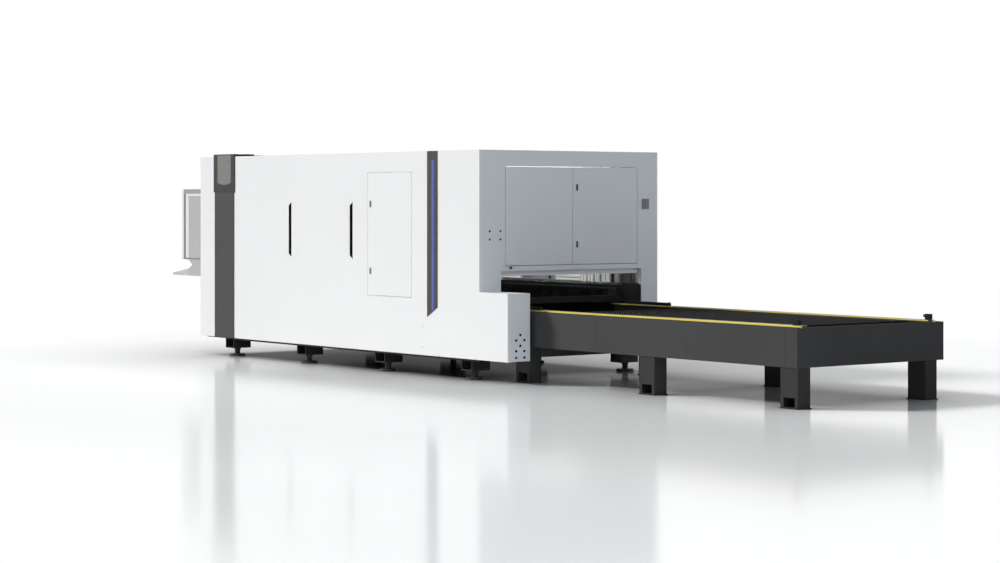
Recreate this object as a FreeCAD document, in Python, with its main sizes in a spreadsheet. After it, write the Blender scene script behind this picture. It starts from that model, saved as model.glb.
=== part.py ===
"""Fiber laser cutting machine: a closed sheet-metal cabin with a two-level shuttle table.

Millimetres.  +X runs out of the cabin along the shuttle table, +Y away from the
side with the long side box, +Z up.  The row's origin is the bottom centre of the
whole machine.  Every place below is written in the machine's own layout, whose
x = 0 is the outer face of the cabin's end wall, y = 0 the middle of the cabin
and z = 0 the floor; each piece is shifted along X by CABIN_END at the very end.
"""
import FreeCAD
import Part
import math
import os
import re
import Sketcher

SIZES = {
    # cabin; its width follows from the pallet's
    "cabin_length": 5267, "cabin_margin": 399.5, "cabin_height": 2234, "skirt_height": 214,
    "sheet": 3, "panel_depth": 35, "seam": 2,
    # the shuttle lane lies a little off the cabin's middle, like the openings in the end wall
    "lane_shift": 41, "gateway_shift": 22,
    "pallet_length": 3100, "pallet_width": 1470, "pallet_park": 230, "table_gap": 130,
    # end wall: doorway with two doors, and the pallet gateway under it
    "door_margin": 110, "door_sill": 48, "rear_door_head": 155,
    "gateway_margin": 160, "gateway_top": 1061, "gate_drop": 49, "gate_height": 320,
    "gate_thickness": 20, "gate_back": 75, "gate_channel": 40, "gate_play": 0.5, "gate_stroke": 100,
    "channel_wall": 6, "lip_gap": 4, "port_pitch": 129, "port_rise": 308, "port_lift": 80,
    "port_radius": 11,
    # doors
    "door_gap": 6, "door_depth": 30, "pivot_inset": 12, "pivot_radius": 5, "pivot_length": 24,
    "frame_bar": 45, "run_play": 0.05, "leaf_rim": 34, "latch_rim": 76,
    "latch_width": 18, "latch_height": 62, "latch_proud": 8, "latch_gap": 2, "latch_inset": 54,
    "cam_gap": 0.3,
    "stem_radius": 8, "cam_reach": 40, "cam_width": 16, "cam_thickness": 4,
    "rear_latch_rise": 202, "rear_latch_drop": 204,
    # side doors
    "side_door_rear": 1122, "side_door_width": 780, "side_door_bottom": 775,
    "side_door_head": 202, "side_latch_rise": 252, "side_latch_drop": 321,
    # front end: operator door with a laser-safe window
    "front_door_margin": 234.5, "front_door_width": 1180, "front_door_bottom": 460,
    "front_door_head": 214, "window_width": 720, "window_height": 520, "window_drop": 170,
    "window_depth": 8, "window_thickness": 8, "handle_length": 336, "handle_reach": 45,
    "handle_bar": 18, "handle_post": 112,
    # side box beside the shuttle table
    "box_length": 446, "box_width": 270, "box_top": 865,
    # dark front band over both sides and the roof
    "band_setback": 326, "band_width": 410, "band_proud": 8, "band_depth": 30,
    "cap_width": 443, "cap_drop": 399, "cap_proud": 12, "cap_hood": 51.5,
    "roof_band_height": 27, "roof_band_low": 15, "roof_band_inset": 130, "roof_band_end": 117,
    "lens_width": 286, "lens_inset": 84.5, "lens_edge": 11, "lens_height": 310, "lens_point": 25,
    "lens_pocket": 4,
    # dark rear strip with its light line
    "strip_rear": 681, "strip_width": 171, "strip_low": 597, "strip_rise": 97, "strip_proud": 5,
    "light_inset": 57, "light_width": 38, "light_rise": 52, "light_drop": 91, "light_pocket": 2,
    # recessed grips
    "grip_gap": 273, "grip_pitch": 1174, "grip_width": 56, "grip_low": 1138, "grip_height": 594,
    "grip_bevel": 40, "grip_rim": 14, "grip_depth": 26,
    # operator console
    "console_reach": 631, "console_width": 550, "console_low": 884, "console_height": 989,
    "console_wall": 12,
    "housing_reach": 423, "housing_rise": 185, "neck_reach": 200, "neck_rise": 126,
    "neck_flat": 20, "tray_root": 281,
    "tray_edge": 27, "tray_rise": 79, "screen_width": 450, "screen_rise": 161,
    "screen_edge": 63, "screen_thickness": 6, "button_rise": 81,
    "stop_radius": 21, "stop_stem": 11, "stop_travel": 6, "start_radius": 13, "start_stem": 8,
    "start_travel": 3, "button_stem_length": 40,
    # call box beside the rear doors
    "call_box_margin": 168, "call_box_width": 77, "call_box_low": 1661, "call_box_height": 101,
    "call_box_depth": 20, "small_round": 6,
    # feet
    "foot_front": 519, "foot_rear": 302, "foot_inset": 174, "foot_tube_width": 176,
    "foot_tube_length": 220, "foot_tube_height": 122, "foot_tube_wall": 10,
    "foot_disc": 93, "foot_disc_thickness": 26, "foot_rod": 20, "foot_nut": 32, "foot_nut_height": 24,
    # base and bed
    "base_bar": 240, "base_height": 100, "base_drop": 14, "base_start": 60, "cross_bar": 120, "base_wall": 8,
    "bed_width": 200, "bed_margin": 65, "bed_top": 850, "bed_setback": 1117, "bed_start": 300,
    "bed_wall": 12, "bed_window": 600, "bed_window_height": 120, "bed_window_rise": 46,
    "scrap_pan_height": 60,
    "post": 50, "post_wall": 4, "rear_post": 100,
    # tracks: the pallets run on two levels
    "lower_track": 530, "track_rise": 170, "track_gap": 2.5, "track_width": 90,
    "track_thickness": 18.5, "ledge_thickness": 15,
    # gantry
    "rail_width": 30, "rail_height": 30, "rack_width": 25,
    "head_park": 3400, "beam_back": 400, "beam_depth": 250, "beam_rise": 150, "beam_height": 250,
    "beam_wall": 12, "runner_length": 90, "runner_width": 70, "runner_play": 0.4,
    "foot_plate_length": 430, "foot_plate_thickness": 40, "carriage_rail": 20,
    "carriage_width": 260, "carriage_thickness": 30, "carriage_height": 330,
    "head_depth": 110, "head_width": 120, "head_rise": 100, "head_height": 320,
    "nozzle_drop": 20, "nozzle_radius": 22, "nozzle_end": 4, "focus_radius": 34, "focus_rise": 30,
    # laser source
    "source_length": 800, "source_width": 560, "source_height": 1150, "source_setback": 117,
    "source_margin": 94.5, "source_door": 60,
    # shuttle table
    "table_length": 3980, "table_side": 30, "table_depth": 335.5,
    "beam_side": 77, "skin": 3, "drive_cover": 82, "cover_rear": 116, "corner_strip": 141,
    "leg_length": 204, "leg_width": 147, "leg_setback": 160, "leg_wall": 6, "leg_recess": 6,
    "base_plate": 8, "base_lip": 8, "leg_hole": 134, "leg_hole_height": 80, "leg_hole_low": 14,
    "table_cross": 80, "rear_cross_height": 104, "cross_gap": 35,
    "stop_length": 50, "stop_height": 50, "stop_width": 42, "stop_end": 28,
    "bumper_radius": 14, "bumper_length": 22, "lug_height": 34, "lug_gap": 1.5,
    "guide_width": 28, "guide_height": 28, "guide_inside": 270, "guide_outside": 510,
    "splash_inside": 260, "splash_outside": 20, "splash_height": 899,
    "knob_radius": 12, "knob_height": 4,
    # pallets
    "tube": 50, "tube_height": 60, "tube_wall": 4, "pallet_clear": 24, "wheel_radius": 35,
    "wheel_width": 32, "wheel_gap": 5, "axle_radius": 12, "roll_gap": 0.3, "wheel_inset": 200,
    "slat_pitch": 100, "slat_first": 100, "slat_thickness": 4, "slat_play": 0.5,
    "slat_top": 160, "slat_low": 52, "tooth_height": 26, "tooth_pitch": 119, "slat_inset": 20,
    # pallet drive
    "shaft_from_end": 300, "shaft_drop": 100, "shaft_radius": 20, "sprocket_radius": 60,
    "sprocket_width": 14, "sprocket_inset": 35, "bearing_size": 80, "bearing_thickness": 30,
    "motor_at": 380, "motor_width": 170, "motor_radius": 75, "motor_length": 260,
}

# Lengths and places that follow from the sizes; the sheet works them out.
DERIVED = {
    # across: everything keeps its distance from the pallet's edge or from the cabin's side
    "cabin_width": "pallet_width + 2 * cabin_margin",
    "gateway_width": "pallet_width + 2 * gateway_margin",
    "rear_door_width": "pallet_width + 2 * door_margin",
    "track_inner": "pallet_width / 2 + track_gap",
    "track_outer": "track_inner + track_width",
    "table_half": "track_outer + table_side",
    "bed_inner": "pallet_width / 2 + bed_margin",
    "stop_inner": "track_outer - stop_width",
    "bumper_line": "track_outer - guide_width",
    "lug_outer": "bumper_line - lug_gap",
    "sprocket_at": "pallet_width / 2 - sprocket_inset",
    "port_inner": "rear_door_width / 2 - gateway_shift + frame_bar + port_radius",
    "port_outer": "port_inner + port_pitch",
    "front_door_left": "cabin_width / 2 - front_door_margin",
    "call_box_centre": "cabin_width / 2 - call_box_margin",
    "source_side": "cabin_width / 2 - source_margin",
    # along
    "shuttle_stroke": "table_length - table_gap + pallet_park",
    "band_rear": "cabin_length - band_setback - band_width",
    "lens_front": "band_rear + band_width / 2 + cap_width / 2 - lens_inset",
    "light_rear": "strip_rear + light_inset",
    "grip_rear": "side_door_rear + side_door_width + grip_gap",
    "foot_pitch": "(cabin_length - foot_front - foot_rear) / 3",
    "bed_length": "cabin_length - bed_setback - bed_start",
    "source_front": "cabin_length - source_setback",
    "leg_pitch": "(table_length - leg_length - leg_setback) / 2",
    "cover_start": "table_length - corner_strip",
    "cover_pitch": "(cover_start - cover_rear) / 3",
    # up: the tracks carry the table, the cabin's height carries the heads of its openings
    "upper_track": "lower_track + track_rise",
    "table_top": "upper_track - track_thickness",
    "table_low": "table_top - table_depth",
    "cross_top": "lower_track - ledge_thickness - cross_gap",
    "rear_cross_low": "table_low - rear_cross_height",
    "shaft_height": "lower_track - shaft_drop",
    "guide_top": "upper_track + guide_height",
    "stop_top": "upper_track + stop_height",
    "bumper_height": "stop_top - bumper_radius - skin",
    "bed_window_low": "skirt_height + base_height + bed_window_rise",
    "beam_low": "bed_top + beam_rise",
    "carriage_top": "beam_low + carriage_height",
    "head_low": "beam_low + head_rise",
    "head_high": "head_low + head_height",
    "nozzle_tip": "beam_low - nozzle_drop",
    "focus_low": "beam_low + focus_rise",
    "gate_edge": "gateway_top - gate_drop",
    "port_low": "gateway_top + port_rise",
    "port_high": "port_low + port_lift",
    "rear_door_bottom": "gateway_top + door_sill",
    "rear_door_height": "cabin_height - rear_door_head - rear_door_bottom",
    "rear_latch_low": "rear_door_bottom + rear_latch_rise",
    "rear_latch_high": "rear_door_bottom + rear_door_height - rear_latch_drop",
    "side_door_height": "cabin_height - side_door_head - side_door_bottom",
    "side_latch_low": "side_door_bottom + side_latch_rise",
    "side_latch_high": "side_door_bottom + side_door_height - side_latch_drop",
    "front_door_height": "cabin_height - front_door_head - front_door_bottom",
    "window_bottom": "cabin_height - front_door_head - window_drop - window_height",
    "cap_bottom": "cabin_height - cap_drop",
    "lens_top": "cabin_height + roof_band_height - lens_edge",
    "lens_side_bottom": "lens_top - lens_height",
    "lens_tip": "lens_side_bottom - lens_point",
    "light_low": "strip_low + light_rise",
    "light_high": "cabin_height - light_drop",
    "grip_high": "grip_low + grip_height",
    "console_top": "console_low + console_height",
    "housing_low": "console_low + housing_rise",
    "neck_height": "console_low + neck_rise",
    "screen_low": "housing_low + screen_rise",
    "screen_height": "console_top - screen_edge - screen_low",
    "button_height": "housing_low + button_rise",
}
START_RADIUS = 100
UP = FreeCAD.Vector(0, 0, 1)

CABIN_END = "(cabin_length + console_reach - table_length - base_lip) / 2"
SIDE = "cabin_width / 2"
FRONT = "-cabin_length"
FOOT_LINE = "cabin_width / 2 - foot_inset"

doc = FreeCAD.newDocument("laser_cutting_machine")
sheet = doc.addObject("Spreadsheet::Sheet", "Sizes")
for row, alias in enumerate([*SIZES, *DERIVED], 1):
    sheet.set("A%d" % row, alias)
    sheet.setAlias("B%d" % row, alias)
for alias, value in SIZES.items():
    sheet.set(alias, str(value))
for alias, text in DERIVED.items():
    sheet.set(alias, "=" + text)
doc.recompute()

nodes = []
homes = {}


# ---------------------------------------------------------------- formulas and places

def formula(text):
    """Put the sheet's name in front of each of its aliases."""
    def named(word):
        alias = word.group()
        return "Sizes." + alias if alias in SIZES or alias in DERIVED else alias

    return re.sub(r"[a-z_]{3,}", named, str(text))


def place(thing, x="0", y="0", z="0"):
    homes[thing.Name] = x
    for letter, text in zip("xyz", (x, y, z)):
        thing.setExpression("Placement.Base." + letter, formula(text))
    return thing


def node(label, *pieces):
    """Name a finished sub-part; several pieces, or one block, become one group."""
    top = pieces[0] if len(pieces) == 1 else doc.addObject("Part::Compound", "Group")
    if len(pieces) > 1:
        top.Links = list(pieces)
    top.Label = label
    home = homes.get(top.Name, "0")
    top.setExpression("Placement.Base.x", formula("%s + %s" % (home, CABIN_END)))
    nodes.append(top)
    return top


# ---------------------------------------------------------------- solids

def block(x, y, z):
    """A box given by its low and high formula along each axis."""
    box = doc.addObject("Part::Box", "Block")
    for prop, (low, high) in zip(("Length", "Width", "Height"), (x, y, z)):
        box.setExpression(prop, formula("(%s) - (%s)" % (high, low)))
    return place(box, x[0], y[0], z[0])


def hollow(x, y, z, wall, along=None):
    """A box section with open ends along one axis, or a closed case."""
    inner = []
    for axis, (low, high) in zip("xyz", (x, y, z)):
        if axis == along:
            inner.append(("%s - seam" % low, "%s + seam" % high))
        else:
            inner.append(("%s + %s" % (low, wall), "%s - %s" % (high, wall)))
    return cut(block(x, y, z), block(*inner))


TURNS = {"x": FreeCAD.Rotation(FreeCAD.Vector(0, 1, 0), 90),
         "y": FreeCAD.Rotation(FreeCAD.Vector(1, 0, 0), -90),
         "z": FreeCAD.Rotation()}


def rod(radius, length, x, y, z, along="z"):
    """A cylinder that starts at a point and runs along one axis."""
    cylinder = doc.addObject("Part::Cylinder", "Rod")
    cylinder.Placement = FreeCAD.Placement(FreeCAD.Vector(), TURNS[along])
    cylinder.setExpression("Radius", formula(radius))
    cylinder.setExpression("Height", formula(length))
    return place(cylinder, x, y, z)


def taper(low_radius, high_radius, length, x, y, z, along="z"):
    cone = doc.addObject("Part::Cone", "Taper")
    cone.Placement = FreeCAD.Placement(FreeCAD.Vector(), TURNS[along])
    cone.setExpression("Radius1", formula(low_radius))
    cone.setExpression("Radius2", formula(high_radius))
    cone.setExpression("Height", formula(length))
    return place(cone, x, y, z)


def joined(*parts):
    union = doc.addObject("Part::MultiFuse", "Union")
    union.Shapes = list(parts)
    return union


def cut(base, *tools):
    result = doc.addObject("Part::Cut", "Cut")
    result.Base = base
    result.Tool = tools[0] if len(tools) == 1 else joined(*tools)
    return result


def mirrored(piece):
    """The same piece on the cabin's other side."""
    mirror = doc.addObject("Part::Mirroring", "Mirror")
    mirror.Source = piece
    mirror.Normal = FreeCAD.Vector(0, 1, 0)
    return mirror


def mirrored_in_lane(piece):
    """The same piece on the shuttle lane's other side."""
    return place(mirrored(piece), "0", "2 * lane_shift", "0")


# ---------------------------------------------------------------- sketched bodies

def new_body(name):
    return doc.addObject("PartDesign::Body", name)


def sketch(body, plane, lift="0"):
    """A sketch on one of the body's own planes; lift moves it along the plane's normal."""
    drawing = body.newObject("Sketcher::SketchObject", "Profile")
    support = [feature for feature in body.Origin.OriginFeatures if feature.Role == plane + "_Plane"]
    drawing.AttachmentSupport = [(support[0], "")]
    drawing.MapMode = "FlatFace"
    drawing.setExpression("AttachmentOffset.Base.z", formula(lift))
    return drawing


def loop(drawing, points):
    """A closed outline; every corner is held by its two distances from the origin.

    The lines start out on a small circle, and the distances then pull them into place.
    """
    first = drawing.GeometryCount
    count = len(points)
    corners = [START_RADIUS * FreeCAD.Vector(math.cos(turn * 2 * math.pi / count),
                                             math.sin(turn * 2 * math.pi / count), 0)
               for turn in range(count)]
    for index in range(count):
        drawing.addGeometry(Part.LineSegment(corners[index], corners[(index + 1) % count]), False)
    for index in range(count):
        line = first + index
        follower = first + (index + 1) % count
        drawing.addConstraint(Sketcher.Constraint("Coincident", line, 2, follower, 1))
        for kind, text, value in (("DistanceX", points[index][0], corners[index].x),
                                  ("DistanceY", points[index][1], corners[index].y)):
            held = drawing.addConstraint(Sketcher.Constraint(kind, -1, 1, line, 1, value))
            drawing.setExpression("Constraints[%d]" % held, formula(text))


def ring(drawing, u, v, radius):
    line = drawing.GeometryCount
    centre = FreeCAD.Vector(START_RADIUS, START_RADIUS, 0)
    drawing.addGeometry(Part.Circle(centre, UP, START_RADIUS), False)
    for constraint, text in (
            (Sketcher.Constraint("DistanceX", -1, 1, line, 3, centre.x), u),
            (Sketcher.Constraint("DistanceY", -1, 1, line, 3, centre.y), v),
            (Sketcher.Constraint("Radius", line, START_RADIUS), radius)):
        held = drawing.addConstraint(constraint)
        drawing.setExpression("Constraints[%d]" % held, formula(text))


def pad(body, drawing, length, inward=True):
    feature = body.newObject("PartDesign::Pad", "Pad")
    feature.Profile = drawing
    feature.setExpression("Length", formula(length))
    feature.Reversed = inward
    return feature


def pocket(body, drawing, depth, inward=True):
    """A pocket that runs the way a pad with the same flag would."""
    feature = body.newObject("PartDesign::Pocket", "Pocket")
    feature.Profile = drawing
    feature.setExpression("Length", formula(depth))
    feature.Reversed = not inward
    return feature


def rectangle(u, v):
    return [(u[0], v[0]), (u[1], v[0]), (u[1], v[1]), (u[0], v[1])]


def inset(points, pulls, distance):
    """Corners pulled inwards; pulls holds each corner's two signs."""
    return [("%s + (%d) * %s" % (u, pull[0], distance), "%s + (%d) * %s" % (v, pull[1], distance))
            for (u, v), pull in zip(points, pulls)]


SQUARE = [(1, 1), (-1, 1), (-1, -1), (1, -1)]


def folded_panel(name, plane, outline, pulls, holes=(), inward=True, depth="panel_depth", ports=()):
    """A sheet with its edges folded back: a face with holes and round ports, and a rim."""
    body = new_body(name)
    face = sketch(body, plane)
    loop(face, outline)
    for hole in holes:
        loop(face, hole)
    for port in ports:
        ring(face, port[0], port[1], "port_radius")
    pad(body, face, "sheet", inward)
    rim = sketch(body, plane)
    loop(rim, outline)
    loop(rim, inset(outline, pulls, "sheet"))
    pad(body, rim, depth, inward)
    return body


# ---------------------------------------------------------------- cabin: base, bed and frame

def foot_stations():
    return ["-foot_rear - %d * foot_pitch" % index for index in range(4)]


def base_frame():
    line = FOOT_LINE
    pieces = []
    for side in ("", "-"):
        pieces.append(hollow(("%s + base_start" % FRONT, "-base_start"),
                             ("%s(%s) - base_bar / 2" % (side, line), "%s(%s) + base_bar / 2" % (side, line)),
                             ("skirt_height - base_drop", "skirt_height + base_height"),
                             "base_wall", "x"))
    for station in foot_stations():
        pieces.append(hollow(("%s - cross_bar / 2" % station, "%s + cross_bar / 2" % station),
                             ("-(%s) + base_bar / 2" % line, "%s - base_bar / 2" % line),
                             ("skirt_height - base_drop", "skirt_height + base_height"),
                             "base_wall", "y"))
    node("base_frame", *pieces)


def bed_beams():
    """Two welded box beams carry the gantry, with windows in their webs and a scrap pan between."""
    start, end = "-bed_start - bed_length", "-bed_start"
    low = "skirt_height + base_height"
    inner, outer = "lane_shift - bed_inner", "lane_shift - bed_inner - bed_width"
    shell = hollow((start, end), (outer, inner), (low, "bed_top"), "bed_wall")
    windows = []
    for eighth in (1, 3, 5, 7):
        middle = "%s + bed_length * %d / 8" % (start, eighth)
        windows.append(block(("%s - bed_window / 2" % middle, "%s + bed_window / 2" % middle),
                             ("%s - seam" % outer, "%s + seam" % inner),
                             ("bed_window_low", "bed_window_low + bed_window_height")))
    left = cut(shell, *windows)
    pan_y = (inner, "lane_shift + bed_inner")
    pan = cut(block((start, end), pan_y, (low, "%s + scrap_pan_height" % low)),
              block(("%s + sheet" % start, "%s - sheet" % end),
                    ("%s + sheet" % pan_y[0], "%s - sheet" % pan_y[1]),
                    ("%s + sheet" % low, "%s + scrap_pan_height + seam" % low)))
    node("bed_beams", left, mirrored_in_lane(left), pan)


def pallet_ledges():
    """Black running ledges inside the bed, on both levels, and low ones in the table."""
    bed = ("-bed_start - bed_length", "-bed_start")
    table = ("-bed_start", "table_length - skin - table_cross")
    upper = block(bed, ("lane_shift - bed_inner", "lane_shift - track_inner"),
                  ("upper_track - track_thickness", "upper_track"))
    lower = block(bed, ("lane_shift - bed_inner", "lane_shift - track_inner"),
                  ("lower_track - ledge_thickness", "lower_track"))
    outside = block(table, ("lane_shift - table_half + skin + beam_side", "lane_shift - track_inner"),
                    ("lower_track - ledge_thickness", "lower_track"))
    left = [upper, lower, outside]
    node("pallet_ledges", *left, *[mirrored_in_lane(piece) for piece in left])


def gantry_rails():
    """A ground rail and a rack on each bed beam."""
    ends = ("-bed_start - bed_length", "-bed_start")
    middle = "lane_shift - bed_inner - bed_width / 2"
    rail = block(ends, ("%s - rail_width / 2" % middle, "%s + rail_width / 2" % middle),
                 ("bed_top", "bed_top + rail_height"))
    rack = block(ends, ("%s - bed_width / 2" % middle, "%s - bed_width / 2 + rack_width" % middle),
                 ("bed_top", "bed_top + rack_width"))
    node("gantry_rails", rail, rack, mirrored_in_lane(rail), mirrored_in_lane(rack))


def cabin_frame():
    """Square posts and rails inside the skin, and the two channels that guide the gate."""
    line = "cabin_width / 2 - panel_depth"
    top = "cabin_height - panel_depth"
    front, rear = "%s + panel_depth" % FRONT, "-rear_post"
    xs = [(front, front + " + post"), ("-band_rear - post", "-band_rear"), (rear + " - post", rear)]
    upright = ("skirt_height + base_height", "%s - post" % top)
    above = ("%s - post" % top, top)
    pieces = []
    for y in (("-(%s)" % line, "-(%s) + post" % line), ("%s - post" % line, line)):
        pieces += [hollow(x, y, upright, "post_wall", "z") for x in xs]
        pieces.append(hollow((front, rear), y, above, "post_wall", "x"))
    between = ("-(%s) + post" % line, "%s - post" % line)
    pieces += [hollow(x, between, above, "post_wall", "y") for x in xs]
    pieces += gate_channels()
    node("cabin_frame", *pieces)


def gate_channels():
    """A channel on each side of the gateway; the gate's edge runs in its groove."""
    front, back = "-gate_back + gate_thickness + gate_play", "-gate_back - gate_play"
    channels = []
    for sign in (-1, 1):
        edge = "gateway_shift + (%d) * (gateway_width / 2 + gate_channel / 2)" % sign
        outer = "%s + (%d) * gate_channel" % (edge, sign)
        inner = "%s - (%d) * gate_channel / 2" % (edge, sign)
        y = (inner, outer) if sign > 0 else (outer, inner)
        groove = (inner, "%s + gate_play" % edge) if sign > 0 else ("%s - gate_play" % edge, inner)
        z = ("gate_edge - gate_stroke", "rear_door_bottom + rear_door_height + frame_bar")
        channels.append(cut(block(("%s - channel_wall" % back, "-panel_depth"), y, z),
                            block((back, front), groove, z)))
    return channels


# ---------------------------------------------------------------- cabin: skin

def grip_outline(rear):
    return [("%s - grip_width" % rear, "grip_low + grip_bevel"), (rear, "grip_low"),
            (rear, "grip_high"), ("%s - grip_width" % rear, "grip_high - grip_bevel")]


def grip_rears():
    return ["-grip_rear", "-grip_rear - grip_pitch"]


def side_door_opening():
    return rectangle(("-side_door_rear - side_door_width", "-side_door_rear"),
                     ("side_door_bottom", "side_door_bottom + side_door_height"))


def side_skin(name, reach):
    """One long side panel; the left one runs on over the side box."""
    front = "-band_rear"
    if reach:
        outline = [(front, "skirt_height"), ("box_length", "skirt_height"), ("box_length", "box_top"),
                   ("0", "box_top"), ("0", "cabin_height"), (front, "cabin_height")]
        pulls = [(1, 1), (-1, 1), (-1, -1), (-1, -1), (-1, -1), (1, -1)]
    else:
        outline = rectangle((front, "0"), ("skirt_height", "cabin_height"))
        pulls = SQUARE
    holes = [side_door_opening()] + [grip_outline(rear) for rear in grip_rears()]
    return folded_panel(name, "XZ", outline, pulls, holes)


def side_skins():
    left = place(side_skin("SideLeft", True), "0", "-(%s)" % SIDE)
    node("side_panel_left", left)
    plain = place(side_skin("SideRight", False), "0", "-(%s)" % SIDE)
    node("side_panel_right", mirrored(plain))
    front = folded_panel("FrontSide", "XZ",
                         rectangle((FRONT, "-band_rear - band_width"),
                                   ("skirt_height", "cabin_height")), SQUARE)
    place(front, "0", "-(%s)" % SIDE)
    node("front_side_panels", front, mirrored(front))


def end_wall():
    """The wall towards the table: doorway above, gateway for the pallets below."""
    low, high = "-(%s) + panel_depth" % SIDE, "%s - panel_depth" % SIDE
    gate = ("gateway_shift - gateway_width / 2", "gateway_shift + gateway_width / 2")
    outline = [(low, "skirt_height"), (gate[0], "skirt_height"), (gate[0], "gateway_top"),
               (gate[1], "gateway_top"), (gate[1], "skirt_height"), (high, "skirt_height"),
               (high, "cabin_height"), (low, "cabin_height")]
    pulls = [(1, 1), (-1, 1), (-1, 1), (1, 1), (1, 1), (-1, 1), (-1, -1), (1, -1)]
    door = rectangle(("gateway_shift - rear_door_width / 2", "gateway_shift + rear_door_width / 2"),
                     ("rear_door_bottom", "rear_door_bottom + rear_door_height"))
    ports = [("-port_outer", "port_low"), ("-port_outer", "port_high"),
             ("-port_inner", "port_low"), ("-port_inner", "port_high")]
    node("end_wall", folded_panel("EndWall", "YZ", outline, pulls, [door], ports=ports))


def front_end():
    """The operator's end, with its door opening."""
    low, high = "-(%s) + panel_depth" % SIDE, "%s - panel_depth" % SIDE
    door = rectangle(("front_door_left - front_door_width", "front_door_left"),
                     ("front_door_bottom", "front_door_bottom + front_door_height"))
    panel = folded_panel("FrontEnd", "YZ", rectangle((low, high), ("skirt_height", "cabin_height")),
                         SQUARE, [door], inward=False)
    node("front_end_panel", place(panel, FRONT))


def side_box():
    """Folded cover beside the table's end; the side panel closes its outer side."""
    node("side_box", hollow(("0", "box_length - sheet"),
                            ("-(%s) + panel_depth" % SIDE, "-(%s) + box_width" % SIDE),
                            ("skirt_height + sheet", "box_top - sheet"), "sheet"))


def roof():
    """Two roof panels, which meet under the dark band."""
    side = ("-(%s) + panel_depth" % SIDE, "%s - panel_depth" % SIDE)
    top = ("cabin_height - panel_depth", "cabin_height")
    middle = "-band_rear - band_width / 2"
    spans = [(middle, "-panel_depth"), ("%s + panel_depth" % FRONT, middle)]
    panels = []
    for start, end in spans:
        well = block(("%s + sheet" % start, "%s - sheet" % end),
                     ("%s + sheet" % side[0], "%s - sheet" % side[1]),
                     ("cabin_height - panel_depth - sheet", "cabin_height - sheet"))
        panels.append(cut(block((start, end), side, top), well))
    node("roof_panels", *panels)


def front_bands():
    """Dark folded bands on both sides, their caps, and the band over the roof."""
    start, end = "-band_rear - band_width", "-band_rear"
    band = folded_panel("Band", "XZ", rectangle((start, end), ("skirt_height", "cap_bottom - seam")),
                        SQUARE, depth="band_depth")
    place(band, "0", "-(%s) - band_proud" % SIDE)
    node("front_bands", band, mirrored(band))
    middle = "-band_rear - band_width / 2"
    cap_x = ("%s - cap_width / 2" % middle, "%s + cap_width / 2" % middle)
    top = "cabin_height + roof_band_height"
    cap = new_body("BandCap")
    face = sketch(cap, "XZ")
    loop(face, rectangle(cap_x, ("cap_bottom", top)))
    pad(cap, face, "cap_proud")
    hood = sketch(cap, "XZ")
    loop(hood, rectangle(cap_x, ("cabin_height", top)))
    pad(cap, hood, "cap_hood")
    recess = sketch(cap, "XZ")
    loop(recess, lens_outline())
    pocket(cap, recess, "lens_pocket")
    place(cap, "0", "-(%s) - cap_proud" % SIDE)
    node("band_caps", cap, mirrored(cap))
    lens = new_body("BandLens")
    face = sketch(lens, "XZ")
    loop(face, lens_outline())
    pad(lens, face, "lens_pocket")
    place(lens, "0", "-(%s) - cap_proud" % SIDE)
    node("band_lenses", lens, mirrored(lens))
    low = "cabin_height + roof_band_low"
    side = "%s - roof_band_inset" % SIDE
    shell = block(cap_x, ("-(%s)" % side, side), ("cabin_height", low))
    inside = block(("%s + sheet" % cap_x[0], "%s - sheet" % cap_x[1]),
                   ("-(%s) + sheet" % side, "%s - sheet" % side),
                   ("cabin_height - seam", "%s - sheet" % low))
    ends = [block(cap_x, ("-(%s)" % side, "-(%s) + roof_band_end" % side), (low, top)),
            block(cap_x, ("%s - roof_band_end" % side, side), (low, top))]
    node("roof_band", joined(cut(shell, inside), *ends))


def lens_outline():
    front, rear = "-lens_front", "-lens_front + lens_width"
    return [(front, "lens_side_bottom"), ("-lens_front + lens_width / 2", "lens_tip"),
            (rear, "lens_side_bottom"), (rear, "lens_top"), (front, "lens_top")]


def accent_strips():
    """Dark strip with a slanted foot, and the light line set into it."""
    front, rear = "-strip_rear - strip_width", "-strip_rear"
    strip = new_body("Strip")
    face = sketch(strip, "XZ")
    loop(face, [(front, "strip_low"), (rear, "strip_low + strip_rise"), (rear, "cabin_height"),
                (front, "cabin_height")])
    pad(strip, face, "strip_proud")
    groove = sketch(strip, "XZ")
    light = [("-light_rear - light_width", "light_low"), ("-light_rear", "light_low + light_width / 2"),
             ("-light_rear", "light_high"), ("-light_rear - light_width", "light_high")]
    loop(groove, light)
    pocket(strip, groove, "light_pocket")
    place(strip, "0", "-(%s) - strip_proud" % SIDE)
    node("accent_strips", strip, mirrored(strip))
    line = new_body("LightLine")
    face = sketch(line, "XZ")
    loop(face, light)
    pad(line, face, "light_pocket")
    place(line, "0", "-(%s) - strip_proud" % SIDE)
    node("light_strips", line, mirrored(line))


def grips():
    """Cups behind the slanted slots in the side panels."""
    pieces = []
    for rear in grip_rears():
        cup = new_body("Grip")
        face = sketch(cup, "XZ")
        loop(face, rectangle(("%s - grip_width - grip_rim" % rear, "%s + grip_rim" % rear),
                             ("grip_low - grip_rim", "grip_high + grip_rim")))
        pad(cup, face, "grip_depth")
        well = sketch(cup, "XZ")
        loop(well, grip_outline(rear))
        pocket(cup, well, "grip_depth - sheet")
        pieces.append(place(cup, "0", "-(%s) + sheet" % SIDE))
    node("grip_cups", *pieces, *[mirrored(piece) for piece in pieces])


# ---------------------------------------------------------------- doors, latches and gate

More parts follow.
